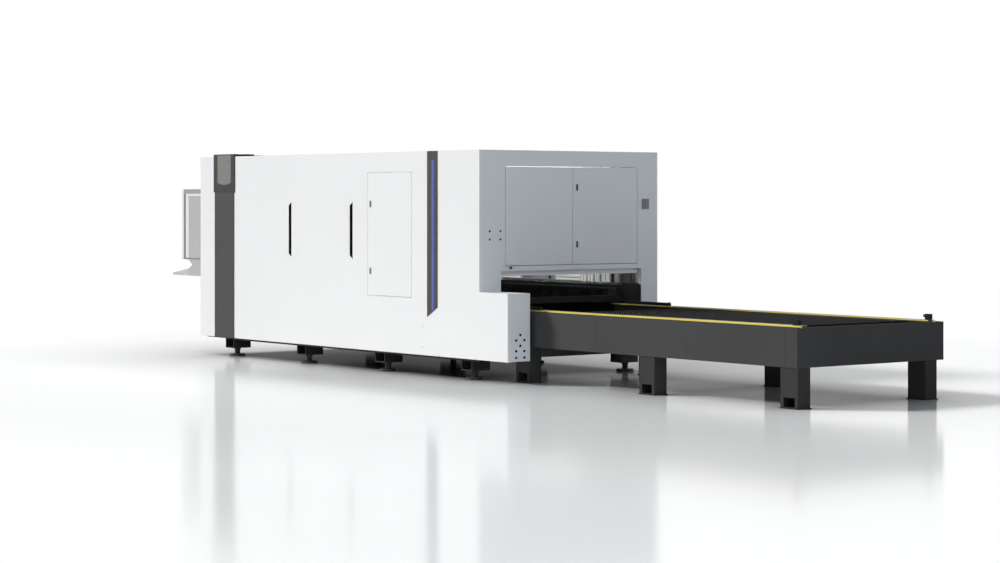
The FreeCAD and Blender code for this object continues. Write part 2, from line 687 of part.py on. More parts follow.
def door_frame(name, plane, u, v, pivots, inward=True):
    """A bar frame behind an opening; pins at its sill and head carry the doors."""
    body = new_body(name)
    face = sketch(body, plane, lift("sheet", plane, inward))
    loop(face, rectangle(("%s - frame_bar" % u[0], "%s + frame_bar" % u[1]),
                         ("%s - frame_bar" % v[0], "%s + frame_bar" % v[1])))
    loop(face, rectangle(u, v))
    pad(body, face, "panel_depth - sheet", inward)
    for pivot in pivots:
        for height, up in ((v[0], True), (v[1], False)):
            pin = sketch(body, "XY", height)
            across = pivot_across(plane, inward)
            ring(pin, *((pivot, across) if plane == "XZ" else (across, pivot)), "pivot_radius")
            pad(body, pin, "pivot_length + door_gap", inward=not up)
    return body


def pivot_across(plane, inward):
    """How deep the pivots lie behind the outer face, along the panel's own normal."""
    return "pivot_inset" if (plane == "XZ") == inward else "-pivot_inset"


def lift(distance, plane, inward):
    """A sketch moved inwards by a distance; the plane's normal points outwards."""
    return "-(%s)" % distance if inward else distance


def door_leaf(name, plane, u, v, pivot, wells, stems=(), window=None, inward=True):
    """A flush leaf with a thick rim, a blind bore at each pivot and one for each latch's stem.

    Wells are the rectangles where only the outer sheet is left.
    """
    body = new_body(name)
    face = sketch(body, plane)
    loop(face, rectangle(u, v))
    for stem in stems:
        ring(face, stem[0], stem[1], "stem_radius + run_play")
    if window:
        loop(face, window)
    pad(body, face, "door_depth", inward)
    back = sketch(body, plane, lift("sheet", plane, inward))
    for well in wells:
        loop(back, well)
    pocket(body, back, "door_depth", inward)
    across = pivot_across(plane, inward)
    where = (pivot, across) if plane == "XZ" else (across, pivot)
    for height, up in ((v[0], True), (v[1], False)):
        bore = sketch(body, "XY", height)
        ring(bore, *where, "pivot_radius + run_play")
        pocket(body, bore, "pivot_length + door_gap", inward=not up)
    return body


def latch(across, along, outward):
    """A paddle on a stem through the leaf, with a short cam behind it.

    across is the latch's place along the wall, along its height, and outward the
    face's own axis and place: the paddle lies before the face, the cam behind the leaf.
    """
    axis, face, sign = outward
    back = "(%s) - (%d) * (door_depth + cam_gap)" % (face, sign)

    def plate(first, second, half_width, low, high):
        deep = (first, second) if sign > 0 else (second, first)
        wide = ("%s - %s" % (across, half_width), "%s + %s" % (across, half_width))
        x, y = (deep, wide) if axis == "x" else (wide, deep)
        return block(x, y, ("%s - %s" % (along, low), "%s + %s" % (along, high)))

    paddle = plate("%s + (%d) * latch_gap" % (face, sign), "%s + (%d) * latch_proud" % (face, sign),
                   "latch_width / 2", "latch_height / 2", "latch_height / 2")
    cam_back = "%s - (%d) * cam_thickness" % (back, sign)
    cam = plate(cam_back, back, "cam_width / 2", "cam_reach", "cam_width / 2")
    start = cam_back if sign > 0 else "%s - latch_proud" % face
    length = "latch_proud + door_depth + cam_gap + cam_thickness"
    where = (start, across, along) if axis == "x" else (across, start, along)
    return joined(paddle, cam, rod("stem_radius", length, *where, axis))


def side_doors():
    """One access door in each long side, hinged towards the table."""
    opening_u = ("-side_door_rear - side_door_width", "-side_door_rear")
    opening_v = ("side_door_bottom", "side_door_bottom + side_door_height")
    leaf_u = ("%s + door_gap" % opening_u[0], "%s - door_gap" % opening_u[1])
    leaf_v = ("%s + door_gap" % opening_v[0], "%s - door_gap" % opening_v[1])
    well_v = ("%s + leaf_rim" % leaf_v[0], "%s - leaf_rim" % leaf_v[1])
    pivot = "%s - pivot_inset" % leaf_u[1]
    stem_x = "%s + latch_inset" % opening_u[0]
    heights = {"upper": "side_latch_high", "lower": "side_latch_low"}
    frame = door_frame("SideFrame", "XZ", opening_u, opening_v, [pivot])
    place(frame, "0", "-(%s)" % SIDE)
    node("side_door_frames", frame, mirrored(frame))
    for side in ("left", "right"):
        leaf = door_leaf("SideDoor", "XZ", leaf_u, leaf_v, pivot,
                         [rectangle(("%s + latch_rim" % leaf_u[0], "%s - leaf_rim" % leaf_u[1]), well_v)],
                         [(stem_x, height) for height in heights.values()])
        place(leaf, "0", "-(%s)" % SIDE)
        node("side_door_" + side, leaf if side == "left" else mirrored(leaf))
        for level, height in heights.items():
            turn = latch(stem_x, height, ("y", "-(%s)" % SIDE, -1))
            node("side_latch_%s_%s" % (side, level), turn if side == "left" else mirrored(turn))


def rear_doors():
    """Two doors over the gateway; the right one carries both latches at the middle."""
    opening_u = ("gateway_shift - rear_door_width / 2", "gateway_shift + rear_door_width / 2")
    opening_v = ("rear_door_bottom", "rear_door_bottom + rear_door_height")
    leaf_v = ("%s + door_gap" % opening_v[0], "%s - door_gap" % opening_v[1])
    left_u = ("%s + door_gap" % opening_u[0], "gateway_shift - door_gap / 2")
    right_u = ("gateway_shift + door_gap / 2", "%s - door_gap" % opening_u[1])
    left_pivot, right_pivot = "%s + pivot_inset" % left_u[0], "%s - pivot_inset" % right_u[1]
    stem_y = "gateway_shift + latch_inset"
    heights = {"upper": "rear_latch_high", "lower": "rear_latch_low"}
    node("rear_door_frame", door_frame("RearFrame", "YZ", opening_u, opening_v,
                                       [left_pivot, right_pivot]))
    well_v = ("%s + leaf_rim" % leaf_v[0], "%s - leaf_rim" % leaf_v[1])
    left_well = rectangle(("%s + leaf_rim" % left_u[0], "%s - leaf_rim" % left_u[1]), well_v)
    right_well = rectangle(("%s + latch_rim" % right_u[0], "%s - leaf_rim" % right_u[1]), well_v)
    node("rear_door_left", door_leaf("RearLeft", "YZ", left_u, leaf_v, left_pivot, [left_well]))
    node("rear_door_right", door_leaf("RearRight", "YZ", right_u, leaf_v, right_pivot, [right_well],
                                      [(stem_y, height) for height in heights.values()]))
    for level, height in heights.items():
        node("rear_latch_" + level, latch(stem_y, height, ("x", "0", 1)))


def front_door():
    """The operator's door, with a grip and a laser-safe window."""
    opening_u = ("front_door_left - front_door_width", "front_door_left")
    opening_v = ("front_door_bottom", "front_door_bottom + front_door_height")
    leaf_u = ("%s + door_gap" % opening_u[0], "%s - door_gap" % opening_u[1])
    leaf_v = ("%s + door_gap" % opening_v[0], "%s - door_gap" % opening_v[1])
    pivot = "%s - pivot_inset" % leaf_u[1]
    middle = "front_door_left - front_door_width / 2"
    window_u = ("%s - window_width / 2" % middle, "%s + window_width / 2" % middle)
    window_v = ("window_bottom", "window_bottom + window_height")
    frame = door_frame("FrontFrame", "YZ", opening_u, opening_v, [pivot], inward=False)
    node("front_door_frame", place(frame, FRONT))
    well = rectangle(("%s + latch_rim" % leaf_u[0], "%s - leaf_rim" % leaf_u[1]),
                     ("%s + leaf_rim" % leaf_v[0], "window_bottom - leaf_rim"))
    leaf = door_leaf("FrontDoor", "YZ", leaf_u, leaf_v, pivot, [well],
                     window=rectangle(window_u, window_v), inward=False)
    place(leaf, FRONT)
    handle_y = "%s + latch_inset" % leaf_u[0]
    handle_z = "window_bottom - leaf_rim - handle_length / 2"
    handle_x = "%s - handle_reach" % FRONT
    bar = block((handle_x, "%s + handle_bar" % handle_x),
                ("%s - handle_bar / 2" % handle_y, "%s + handle_bar / 2" % handle_y),
                ("%s - handle_length / 2" % handle_z, "%s + handle_length / 2" % handle_z))
    posts = [rod("stem_radius", "handle_reach - handle_bar / 2", "%s + handle_bar / 2" % handle_x, handle_y,
                 "%s %s handle_post" % (handle_z, sign), "x") for sign in "+-"]
    node("front_door", joined(leaf, bar, *posts))
    pane_x = "%s + window_depth" % FRONT
    node("front_window", block((pane_x, "%s + window_thickness" % pane_x), window_u, window_v))


def lift_gate():
    """The plate that drops behind the gateway, with a folded lip along its lower edge."""
    y = ("gateway_shift - gateway_width / 2 - gate_channel / 2",
         "gateway_shift + gateway_width / 2 + gate_channel / 2")
    plate = block(("-gate_back", "-gate_back + gate_thickness"), y,
                  ("gate_edge", "gate_edge + gate_height"))
    lip = block(("-gate_back + gate_thickness / 2", "-panel_depth - lip_gap"),
                ("gateway_shift - gateway_width / 2 + gate_channel",
                 "gateway_shift + gateway_width / 2 - gate_channel"),
                ("gate_edge", "gate_edge + gate_thickness"))
    node("lift_gate", joined(plate, lip))


# ---------------------------------------------------------------- console

def console():
    """The operator console on the front end, seen from its side as one upright cranked case."""
    near = "-(%s) + seam" % SIDE
    far = "%s + console_width" % near
    front = FRONT
    body = new_body("Console")
    outline = [(front, "console_low"), ("%s - tray_root" % front, "console_low"),
               ("%s - tray_root" % front, "console_low + tray_rise"),
               ("%s - neck_reach" % front, "neck_height - neck_flat / 2"),
               ("%s - neck_reach" % front, "neck_height + neck_flat / 2"),
               ("%s - tray_root" % front, "housing_low"), ("%s - housing_reach" % front, "housing_low"),
               ("%s - housing_reach" % front, "console_top"), (front, "console_top")]
    pulls = [(-1, 1), (1, 1), (1, 0), (1, 0), (1, 0), (1, 1), (1, 1), (1, -1), (-1, -1)]
    profile = sketch(body, "XZ")
    loop(profile, outline)
    pad(body, profile, "console_width")
    core = sketch(body, "XZ", "-console_wall")
    loop(core, inset(outline, pulls, "console_wall"))
    pocket(body, core, "console_width - 2 * console_wall")
    place(body, "0", near)
    face_x = "%s - housing_reach" % front
    middle = "%s + console_width / 2" % near
    recess = block(("%s - seam" % face_x, "%s + screen_thickness" % face_x),
                   ("%s - screen_width / 2" % middle, "%s + screen_width / 2" % middle),
                   ("screen_low", "screen_low + screen_height"))
    stop_y = "%s - screen_width / 4" % middle
    start_y = "%s + screen_width / 4" % middle
    bores = [rod("stop_stem + run_play", "button_stem_length * 2", "%s - seam" % face_x, stop_y,
                 "button_height", "x"),
             rod("start_stem + run_play", "button_stem_length * 2", "%s - seam" % face_x, start_y,
                 "button_height", "x")]
    node("console_body", cut(body, recess, *bores))
    screen = block((face_x, "%s + screen_thickness" % face_x),
                   ("%s - screen_width / 2" % middle, "%s + screen_width / 2" % middle),
                   ("screen_low", "screen_low + screen_height"))
    node("console_screen", screen)
    tray = new_body("Tray")
    profile = sketch(tray, "XZ")
    loop(profile, [("%s - tray_root" % front, "console_low"), ("%s - console_reach" % front, "console_low"),
                   ("%s - console_reach" % front, "console_low + tray_edge"),
                   ("%s - tray_root" % front, "console_low + tray_rise")])
    pad(tray, profile, "console_width")
    node("keyboard_tray", place(tray, "0", near))
    stop_head = "%s - stop_travel - seam" % face_x
    node("emergency_stop", joined(
        taper("stop_radius - sheet", "stop_radius", "sheet", "%s - stop_radius" % stop_head, stop_y,
              "button_height", "x"),
        rod("stop_radius", "stop_radius - sheet", "%s - stop_radius + sheet" % stop_head, stop_y,
            "button_height", "x"),
        rod("stop_stem", "button_stem_length + stop_travel", stop_head, stop_y, "button_height", "x")))
    start_head = "%s - start_travel - seam" % face_x
    node("start_button", joined(
        rod("start_radius", "small_round", "%s - small_round" % start_head, start_y, "button_height", "x"),
        rod("start_stem", "button_stem_length + start_travel", start_head, start_y, "button_height", "x")))


def call_box():
    """Small switch box on the end wall."""
    body = new_body("CallBox")
    face = sketch(body, "YZ")
    loop(face, rectangle(("call_box_centre - call_box_width / 2", "call_box_centre + call_box_width / 2"),
                         ("call_box_low", "call_box_low + call_box_height")))
    pad(body, face, "call_box_depth", inward=False)
    node("call_box", body)


# ---------------------------------------------------------------- feet and laser source

def feet():
    """Square tubes under the base, open to the side, each with a levelling screw and disc."""
    tubes, screws = [], []
    line = "-(%s)" % FOOT_LINE
    low = "skirt_height - foot_tube_height"
    for station in foot_stations():
        tube_y = ("%s - foot_tube_length / 2 + foot_rod / 2" % line,
                  "%s + foot_tube_length / 2 + foot_rod / 2" % line)
        shell = hollow(("%s - foot_tube_width / 2" % station, "%s + foot_tube_width / 2" % station),
                       tube_y, (low, "skirt_height - base_drop"), "foot_tube_wall", "y")
        hole = rod("foot_rod", "foot_tube_height - base_drop - foot_tube_wall", station, line,
                   "%s - foot_tube_wall / 2" % low)
        tubes.append(cut(shell, hole))
        screws.append(joined(
            taper("foot_disc", "foot_disc * 0.94", "foot_disc_thickness", station, line, "0"),
            rod("foot_nut", "foot_nut_height", station, line, "%s - foot_nut_height" % low),
            rod("foot_rod", "skirt_height - base_drop - foot_tube_wall * 3", station, line,
                "foot_disc_thickness / 2")))
    node("foot_tubes", *tubes, *[mirrored(piece) for piece in tubes])
    node("levelling_feet", *screws, *[mirrored(piece) for piece in screws])


def laser_source():
    """The laser source's own cabinet, on the base in the cabin's front part."""
    x = ("-source_front", "-source_front + source_length")
    y = ("-source_side", "-source_side + source_width")
    z = ("skirt_height + base_height", "skirt_height + base_height + source_height")
    door = block(("%s + source_door" % x[0], "%s - source_door" % x[1]), (y[1], "%s + sheet" % y[1]),
                 ("%s + source_door" % z[0], "%s - source_door" % z[1]))
    node("laser_source", joined(hollow(x, y, z, "sheet"), door))


# ---------------------------------------------------------------- gantry

def gantry():
    """Bridge over the bed: box beam, end plates and grooved runners on the rails."""
    head = "-head_park"
    beam_x = ("%s - beam_back" % head, "%s - beam_back + beam_depth" % head)
    beam_z = ("beam_low", "beam_low + beam_height")
    half = "bed_inner + bed_width - rail_width / 2"
    beam = hollow(beam_x, ("lane_shift - (%s)" % half, "lane_shift + %s" % half), beam_z, "beam_wall")
    centre = "%s - beam_back + beam_depth / 2" % head
    rail_line = "lane_shift - bed_inner - bed_width / 2"
    rail_top = "bed_top + rail_height"
    plate_low = "beam_low - foot_plate_thickness"
    pieces = [beam]
    ends = [block(("%s - foot_plate_length / 2" % centre, "%s + foot_plate_length / 2" % centre),
                  ("%s - runner_width" % rail_line, "%s + runner_width" % rail_line),
                  (plate_low, "beam_low"))]
    for sign in "+-":
        middle = "%s %s (foot_plate_length / 2 - runner_length / 2)" % (centre, sign)
        x = ("%s - runner_length / 2" % middle, "%s + runner_length / 2" % middle)
        saddle = block(x, ("%s - runner_width / 2" % rail_line, "%s + runner_width / 2" % rail_line),
                       ("bed_top + rail_height / 3", plate_low))
        groove = block(("%s - seam" % x[0], "%s + seam" % x[1]),
                       ("%s - rail_width / 2 - runner_play" % rail_line,
                        "%s + rail_width / 2 + runner_play" % rail_line),
                       ("bed_top", "%s + runner_play" % rail_top))
        ends.append(cut(saddle, groove))
    pieces += ends + [mirrored_in_lane(piece) for piece in ends]
    for low in ("beam_low + carriage_rail", "beam_low + beam_height - carriage_rail * 3"):
        pieces.append(block((beam_x[1], "%s + carriage_rail" % beam_x[1]),
                            ("lane_shift - (%s) + beam_wall" % half, "lane_shift + %s - beam_wall" % half),
                            (low, "%s + carriage_rail * 2" % low)))
    node("gantry_beam", joined(*pieces))


def carriage():
    """Cross carriage on the beam's face, hooked over the beam's two rails."""
    face = "-head_park - beam_back + beam_depth"
    y = ("lane_shift - carriage_width / 2", "lane_shift + carriage_width / 2")
    back = "%s + carriage_rail + runner_play" % face
    front = "%s + carriage_thickness" % back
    plate = block((back, front), y, ("beam_low - carriage_rail / 2", "carriage_top"))
    hooks = []
    for low in ("beam_low + carriage_rail", "beam_low + beam_height - carriage_rail * 3"):
        for edge in ("%s - carriage_rail / 2 - runner_play" % low,
                     "%s + carriage_rail * 2 + runner_play" % low):
            hooks.append(block(("%s + runner_play * 2" % face, front), y,
                               (edge, "%s + carriage_rail / 2" % edge)))
    node("cross_carriage", joined(plate, *hooks))


def cutting_head():
    """Slide body, focus barrel and copper nozzle; the barrel and nozzle are turned parts."""
    face = "-head_park - beam_back + beam_depth + carriage_rail + runner_play * 2 + carriage_thickness"
    middle = "%s + head_depth / 2" % face
    node("cutting_head", joined(
        block((face, "%s + head_depth" % face),
              ("lane_shift - head_width / 2", "lane_shift + head_width / 2"), ("head_low", "head_high")),
        rod("focus_radius", "head_low - focus_low", middle, "lane_shift", "focus_low"),
        taper("nozzle_end", "nozzle_radius", "focus_low - nozzle_tip", middle, "lane_shift", "nozzle_tip")))


# ---------------------------------------------------------------- shuttle table

def table_beams():
    """Hollow side beams, end beam and cross members of the table's frame."""
    left_y = ("lane_shift - table_half + skin", "lane_shift - table_half + skin + beam_side")
    z = ("table_low", "table_top")
    x = ("-bed_start", "table_length - skin - table_cross")
    beam = hollow(x, left_y, z, "leg_wall", "x")
    end = hollow((x[1], "table_length - skin"), (left_y[0], "lane_shift + table_half - skin"), z,
                 "leg_wall", "y")
    pieces = [beam, mirrored_in_lane(beam), end]
    inner = (left_y[1], "2 * lane_shift - (%s)" % left_y[1])
    between_legs = ("lane_shift - table_half + leg_recess + leg_width",
                    "lane_shift + table_half - leg_recess - leg_width")
    for index in range(2):
        rear = "table_length - %d * leg_pitch - leg_length" % index
        pieces.append(hollow((rear, "%s + table_cross" % rear), inner, ("table_low", "cross_top"),
                             "leg_wall", "y"))
    rear = "table_length - 2 * leg_pitch"
    for y, low, high in ((inner, "table_low", "cross_top"), (between_legs, "rear_cross_low", "table_low")):
        pieces.append(hollow(("%s - table_cross" % rear, rear), y, (low, high), "leg_wall", "y"))
    node("table_beams", *pieces)


def table_legs():
    """Six hollow legs on base plates; each has a hole low in its outer face."""
    legs = []
    for index in range(3):
        rear = "table_length - %d * leg_pitch" % index
        x = ("%s - leg_length" % rear, rear)
        y = ("lane_shift - table_half + leg_recess", "lane_shift - table_half + leg_recess + leg_width")
        shell = hollow(x, y, ("base_plate / 2", "table_low"), "leg_wall")
        middle = "%s - leg_length / 2" % rear
        hole = block(("%s - leg_hole / 2" % middle, "%s + leg_hole / 2" % middle),
                     ("%s - seam" % y[0], "%s + leg_wall + seam" % y[0]),
                     ("leg_hole_low", "leg_hole_low + leg_hole_height"))
        plate = block(("%s - base_lip" % x[0], "%s + base_lip" % x[1]),
                      ("%s - base_lip" % y[0], "%s + base_lip" % y[1]), ("0", "base_plate"))
        legs.append(joined(cut(shell, hole), plate))
    node("table_legs", *legs, *[mirrored_in_lane(leg) for leg in legs])


def table_covers():
    """Sheet covers: three and a corner strip on the left, the end, and the drive side's case."""
    y = ("lane_shift - table_half", "lane_shift - table_half + skin")
    z = ("table_low", "table_top")
    covers = [block(("cover_start - %d * cover_pitch" % (index + 1),
                     "cover_start - %d * cover_pitch - seam" % index), y, z) for index in range(3)]
    covers.append(block(("cover_start", "table_length - skin"), y, z))
    covers.append(block(("table_length - skin", "table_length"),
                        (y[0], "lane_shift + table_half + drive_cover"), z))
    side = "lane_shift + table_half"
    covers.append(hollow(("leg_length", "table_length - skin"),
                         ("%s - skin" % side, "%s + drive_cover" % side), z, "skin"))
    node("table_covers", *covers)


def track_rails():
    """Yellow rails on the table's beams: the upper level's track."""
    rail = block(("-bed_start", "table_length"), ("lane_shift - track_outer", "lane_shift - track_inner"),
                 ("table_top", "upper_track"))
    node("track_rails", rail, mirrored_in_lane(rail))


def entry_guides():
    """Black bars on the rails that lead the upper pallet in, and splash plates beside the gateway."""
    y = ("lane_shift - track_outer", "lane_shift - track_outer + guide_width")
    bar = block(("-guide_inside", "guide_outside"), y, ("upper_track", "guide_top"))
    knob = rod("knob_radius", "knob_height", "guide_outside - knob_radius * 1.2",
               "(%s + %s) / 2" % y, "guide_top")
    guide = joined(bar, knob)
    plate = block(("-splash_inside", "splash_outside"),
                  ("lane_shift - table_half + skin", "lane_shift - table_half + skin * 2"),
                  ("table_top", "splash_height"))
    node("entry_guides", guide, plate, mirrored_in_lane(guide), mirrored_in_lane(plate))


def stop_blocks():
    """End stops on the rails, each with a bumper for the lug at the upper pallet's corner."""
    end = "table_length - stop_end"
    start = "%s - stop_length" % end
    inner = "lane_shift - stop_inner"
    stop = joined(
        block((start, end), ("lane_shift - track_outer", inner), ("upper_track", "stop_top")),
        rod("bumper_radius", "bumper_length + stop_length / 2", "%s - bumper_length" % start,
            "lane_shift - bumper_line", "bumper_height", "x"))
    node("stop_blocks", stop, mirrored_in_lane(stop))


def pallet_drive():
    """Cross shaft with two chain wheels, its bearings, and a hollow-shaft gearmotor."""
    x = "table_length - shaft_from_end"
    z = "shaft_height"
    inner = "table_half - skin - beam_side"
    reach = "%s - bearing_thickness / 3" % inner
    shaft = rod("shaft_radius", "2 * (%s)" % reach, x, "lane_shift - (%s)" % reach, z, "y")
    wheels = [rod("sprocket_radius", "sprocket_width", x,
                  "lane_shift %s sprocket_at - sprocket_width / 2" % sign, z, "y") for sign in "+-"]
    node("drive_shaft", joined(shaft, *wheels))
    bore = rod("shaft_radius + run_play", "2 * (%s)" % reach, x, "lane_shift - (%s)" % reach, z, "y")
    bearing = cut(block(("%s - bearing_size / 2" % x, "%s + bearing_size / 2" % x),
                        ("lane_shift - (%s)" % inner, "lane_shift - (%s) + bearing_thickness" % inner),
                        ("%s - bearing_size / 2" % z, "%s + bearing_size / 2" % z)), bore)
    node("shaft_bearings", bearing, mirrored_in_lane(bearing))
    gear_y = ("lane_shift + motor_at - motor_width / 2", "lane_shift + motor_at + motor_width / 2")
    gear = cut(block(("%s - motor_radius" % x, "table_length - leg_length"), gear_y,
                     ("%s - motor_radius" % z, "%s + sprocket_radius" % z)), bore)
    can = rod("motor_radius", "motor_length", "%s - motor_radius - motor_length" % x,
              "lane_shift + motor_at", "%s - small_round" % z, "x")
    node("gear_motor", joined(gear, can))


# ---------------------------------------------------------------- pallets

def pallet_lugs(y, end, track):
    """Lugs at the upper pallet's corners; at the end of its travel they meet the bumpers."""
    stroke_left = "table_length - stop_end - stop_length - bumper_length - shuttle_stroke - (%s)" % end
    x = ("%s - tube / 2" % end, "%s + %s - lug_gap" % (end, stroke_left))
    z = ("%s + pallet_clear" % track, "%s + pallet_clear + lug_height" % track)
    return [block(x, ("lane_shift - lug_outer", "%s + tube / 2" % y[0]), z),
            block(x, ("%s - tube / 2" % y[1], "lane_shift + lug_outer"), z)]


def pallet(label, start, track, lugs=False):
    """A welded frame of tubes with rollers at its sides, and toothed slats hung across it."""
    end = "%s + pallet_length" % start
    z = ("%s + pallet_clear" % track, "%s + pallet_clear + tube_height" % track)
    y = ("lane_shift - pallet_width / 2", "lane_shift + pallet_width / 2")
    inner_y = ("%s + tube" % y[0], "%s - tube" % y[1])
    tubes = [hollow((start, "%s + tube" % start), y, z, "tube_wall"),
             hollow(("%s - tube" % end, end), y, z, "tube_wall")]
    for side in ((y[0], inner_y[0]), (inner_y[1], y[1])):
        tubes.append(hollow(("%s + tube" % start, "%s - tube" % end), side, z, "tube_wall"))
    for quarter in (1, 2, 3):
        middle = "%s + pallet_length * %d / 4 - slat_pitch / 4" % (start, quarter)
        tubes.append(block(("%s - tube / 2" % middle, "%s + tube / 2" % middle), inner_y,
                           (z[0], "%s + tube / 2" % z[0])))
    height = "%s + wheel_radius + roll_gap" % track
    reach = "wheel_gap + wheel_width"
    for middle in ("%s + wheel_inset" % start, "%s + pallet_length / 2" % start, "%s - wheel_inset" % end):
        for axle_y, wheel_y in (("%s - (%s)" % (y[0], reach), "%s - (%s)" % (y[0], reach)),
                                ("%s - tube_wall / 2" % y[1], "%s + wheel_gap" % y[1])):
            tubes.append(rod("axle_radius", "%s + tube_wall / 2" % reach, middle, axle_y, height, "y"))
            tubes.append(rod("wheel_radius", "wheel_width", middle, wheel_y, height, "y"))
    if lugs:
        tubes += pallet_lugs(y, end, track)
    node(label + "_frame", joined(*tubes))
    slats(label, start, track)


def slats(label, start, track):
    """One toothed slat, drawn once and repeated along the pallet."""
    body = new_body("Slats")
    face = sketch(body, "YZ")
    outer = "pallet_width / 2 - slat_inset"
    inner = "pallet_width / 2 - tube - slat_play"
    rest = "pallet_clear + tube_height"
    valley = "slat_top - tooth_height"
    teeth = round((SIZES["pallet_width"] - 2 * SIZES["slat_inset"]) / SIZES["tooth_pitch"])
    points = [("-(%s)" % inner, "slat_low"), (inner, "slat_low"), (inner, rest), (outer, rest)]
    for tooth in range(teeth):
        points.append(("(%s) * %d / %d" % (outer, teeth - 2 * tooth, teeth), valley))
        points.append(("(%s) * %d / %d" % (outer, teeth - 2 * tooth - 1, teeth), "slat_top"))
    points += [("-(%s)" % outer, valley), ("-(%s)" % outer, rest), ("-(%s)" % inner, rest)]
    loop(face, points)
    pad(body, face, "slat_thickness", inward=False)
    repeated = body.newObject("PartDesign::LinearPattern", "Repeated")
    repeated.Originals = [body.Tip]
    axis = [feature for feature in body.Origin.OriginFeatures if feature.Role == "X_Axis"][0]
    repeated.Direction = (axis, [""])
    repeated.setExpression("Length", formula("pallet_length - 2 * slat_first"))
    span = SIZES["pallet_length"] - 2 * SIZES["slat_first"]
    repeated.Occurrences = span // SIZES["slat_pitch"] + 1
    body.Tip = repeated
    node(label + "_slats", place(body, "%s + slat_first" % start, "lane_shift", track))


def build():
    base_frame()
    bed_beams()
    pallet_ledges()
    gantry_rails()
    cabin_frame()
    side_skins()
    end_wall()
    front_end()
    side_box()
    roof()
    front_bands()
    accent_strips()
    grips()
    side_doors()
    rear_doors()
    front_door()
    lift_gate()
    console()
    call_box()
    feet()
    laser_source()
    gantry()
    carriage()
    cutting_head()
    table_beams()
    table_legs()
    table_covers()
    track_rails()
    entry_guides()
    stop_blocks()
    pallet_drive()
    pallet("upper_pallet", "-pallet_park - pallet_length", "upper_track", lugs=True)
    pallet("lower_pallet", "-pallet_park - pallet_length + shuttle_stroke", "lower_track")


def check_and_write():
    """Every object must have computed, and every sub-part must be a sound solid."""
    doc.recompute()
    faults = [thing.Name for thing in doc.Objects
              if "Invalid" in thing.State or "Error" in thing.State]
    for piece in nodes:
        if piece.Shape.isNull() or not piece.Shape.isValid() or not piece.Shape.Solids:
            faults.append(piece.Label)
    if faults:
        raise RuntimeError("not built: " + ", ".join(faults))
    os.makedirs("parts", exist_ok=True)
    for piece in nodes:
        piece.Shape.exportStep(os.path.join("parts", piece.Label + ".step"))
    print(len(nodes), "sub-parts written")


build()
check_and_write()
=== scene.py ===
"""Looks of the fiber laser cutting machine: finishes, small parts, light and camera."""
import math

import bmesh
import bpy
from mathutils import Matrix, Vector


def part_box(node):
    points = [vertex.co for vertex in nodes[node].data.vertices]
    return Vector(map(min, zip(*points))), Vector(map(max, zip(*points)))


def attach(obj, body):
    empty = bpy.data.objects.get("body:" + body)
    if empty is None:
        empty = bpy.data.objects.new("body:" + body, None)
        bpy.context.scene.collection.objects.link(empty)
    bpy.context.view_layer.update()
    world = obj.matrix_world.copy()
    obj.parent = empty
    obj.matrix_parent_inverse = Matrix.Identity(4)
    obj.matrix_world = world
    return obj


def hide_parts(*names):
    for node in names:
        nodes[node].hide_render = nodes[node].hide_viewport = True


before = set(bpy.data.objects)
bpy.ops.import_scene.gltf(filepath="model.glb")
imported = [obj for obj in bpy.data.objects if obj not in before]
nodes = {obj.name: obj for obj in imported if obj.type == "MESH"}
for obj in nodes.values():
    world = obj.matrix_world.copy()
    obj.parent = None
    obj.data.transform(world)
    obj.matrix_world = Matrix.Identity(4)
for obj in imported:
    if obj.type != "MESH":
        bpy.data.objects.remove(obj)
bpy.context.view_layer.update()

MM = 0.001

# Driving places, metres in the row frame
SIDE_LOW, SIDE_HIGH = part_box("side_panel_left")[0].y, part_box("side_panel_right")[1].y
WALL_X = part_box("end_wall")[1].x
LANE_Y = (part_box("upper_pallet_frame")[0].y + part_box("upper_pallet_frame")[1].y) / 2

# Paint on the track rails: on top beyond this line from the lane's middle, and down to these depths
# on the sides that look to the lane and away from it
RAIL_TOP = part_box("track_rails")[1].z
PAINT_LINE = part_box("track_rails")[1].y - LANE_Y - 28 * MM
INNER_PAINT, OUTER_PAINT = 9 * MM, 14.5 * MM


# ---------------------------------------------------------------- materials

def new_material(name):
    """A material with its node tree and its main shader."""
    material = bpy.data.materials.new(name)
    material.use_nodes = True
    tree = material.node_tree
    return material, tree, tree.nodes["Principled BSDF"]


def noise(tree, scale, detail=3.0, stretch=None):
    """Noise on object coordinates, in turns per metre; stretch squeezes it along each axis."""
    coordinates = tree.nodes.new("ShaderNodeTexCoord")
    mapping = tree.nodes.new("ShaderNodeMapping")
    if stretch:
        mapping.inputs["Scale"].default_value = stretch
    texture = tree.nodes.new("ShaderNodeTexNoise")
    texture.inputs["Scale"].default_value = scale
    texture.inputs["Detail"].default_value = detail
    tree.links.new(coordinates.outputs["Object"], mapping.inputs["Vector"])
    tree.links.new(mapping.outputs["Vector"], texture.inputs["Vector"])
    return texture.outputs["Fac"]


def between(tree, factor, low, high, from_low=0.35, from_high=0.65):
    """Maps a range of values onto another; without one given, that is a texture's middle band."""
    node = tree.nodes.new("ShaderNodeMapRange")
    node.inputs["From Min"].default_value = from_low
    node.inputs["From Max"].default_value = from_high
    node.inputs["To Min"].default_value = low
    node.inputs["To Max"].default_value = high
    tree.links.new(factor, node.inputs["Value"])
    return node.outputs["Result"]


def tint(tree, factor, first, second):
    """A mix of two colours; each is a tuple or a socket."""
    node = tree.nodes.new("ShaderNodeMix")
    node.data_type = "RGBA"
    tree.links.new(factor, node.inputs["Factor"])
    for socket, value in (("A", first), ("B", second)):
        if isinstance(value, tuple):
            node.inputs[socket].default_value = (*value, 1)
        else:
            tree.links.new(value, node.inputs[socket])
    return node.outputs["Result"]


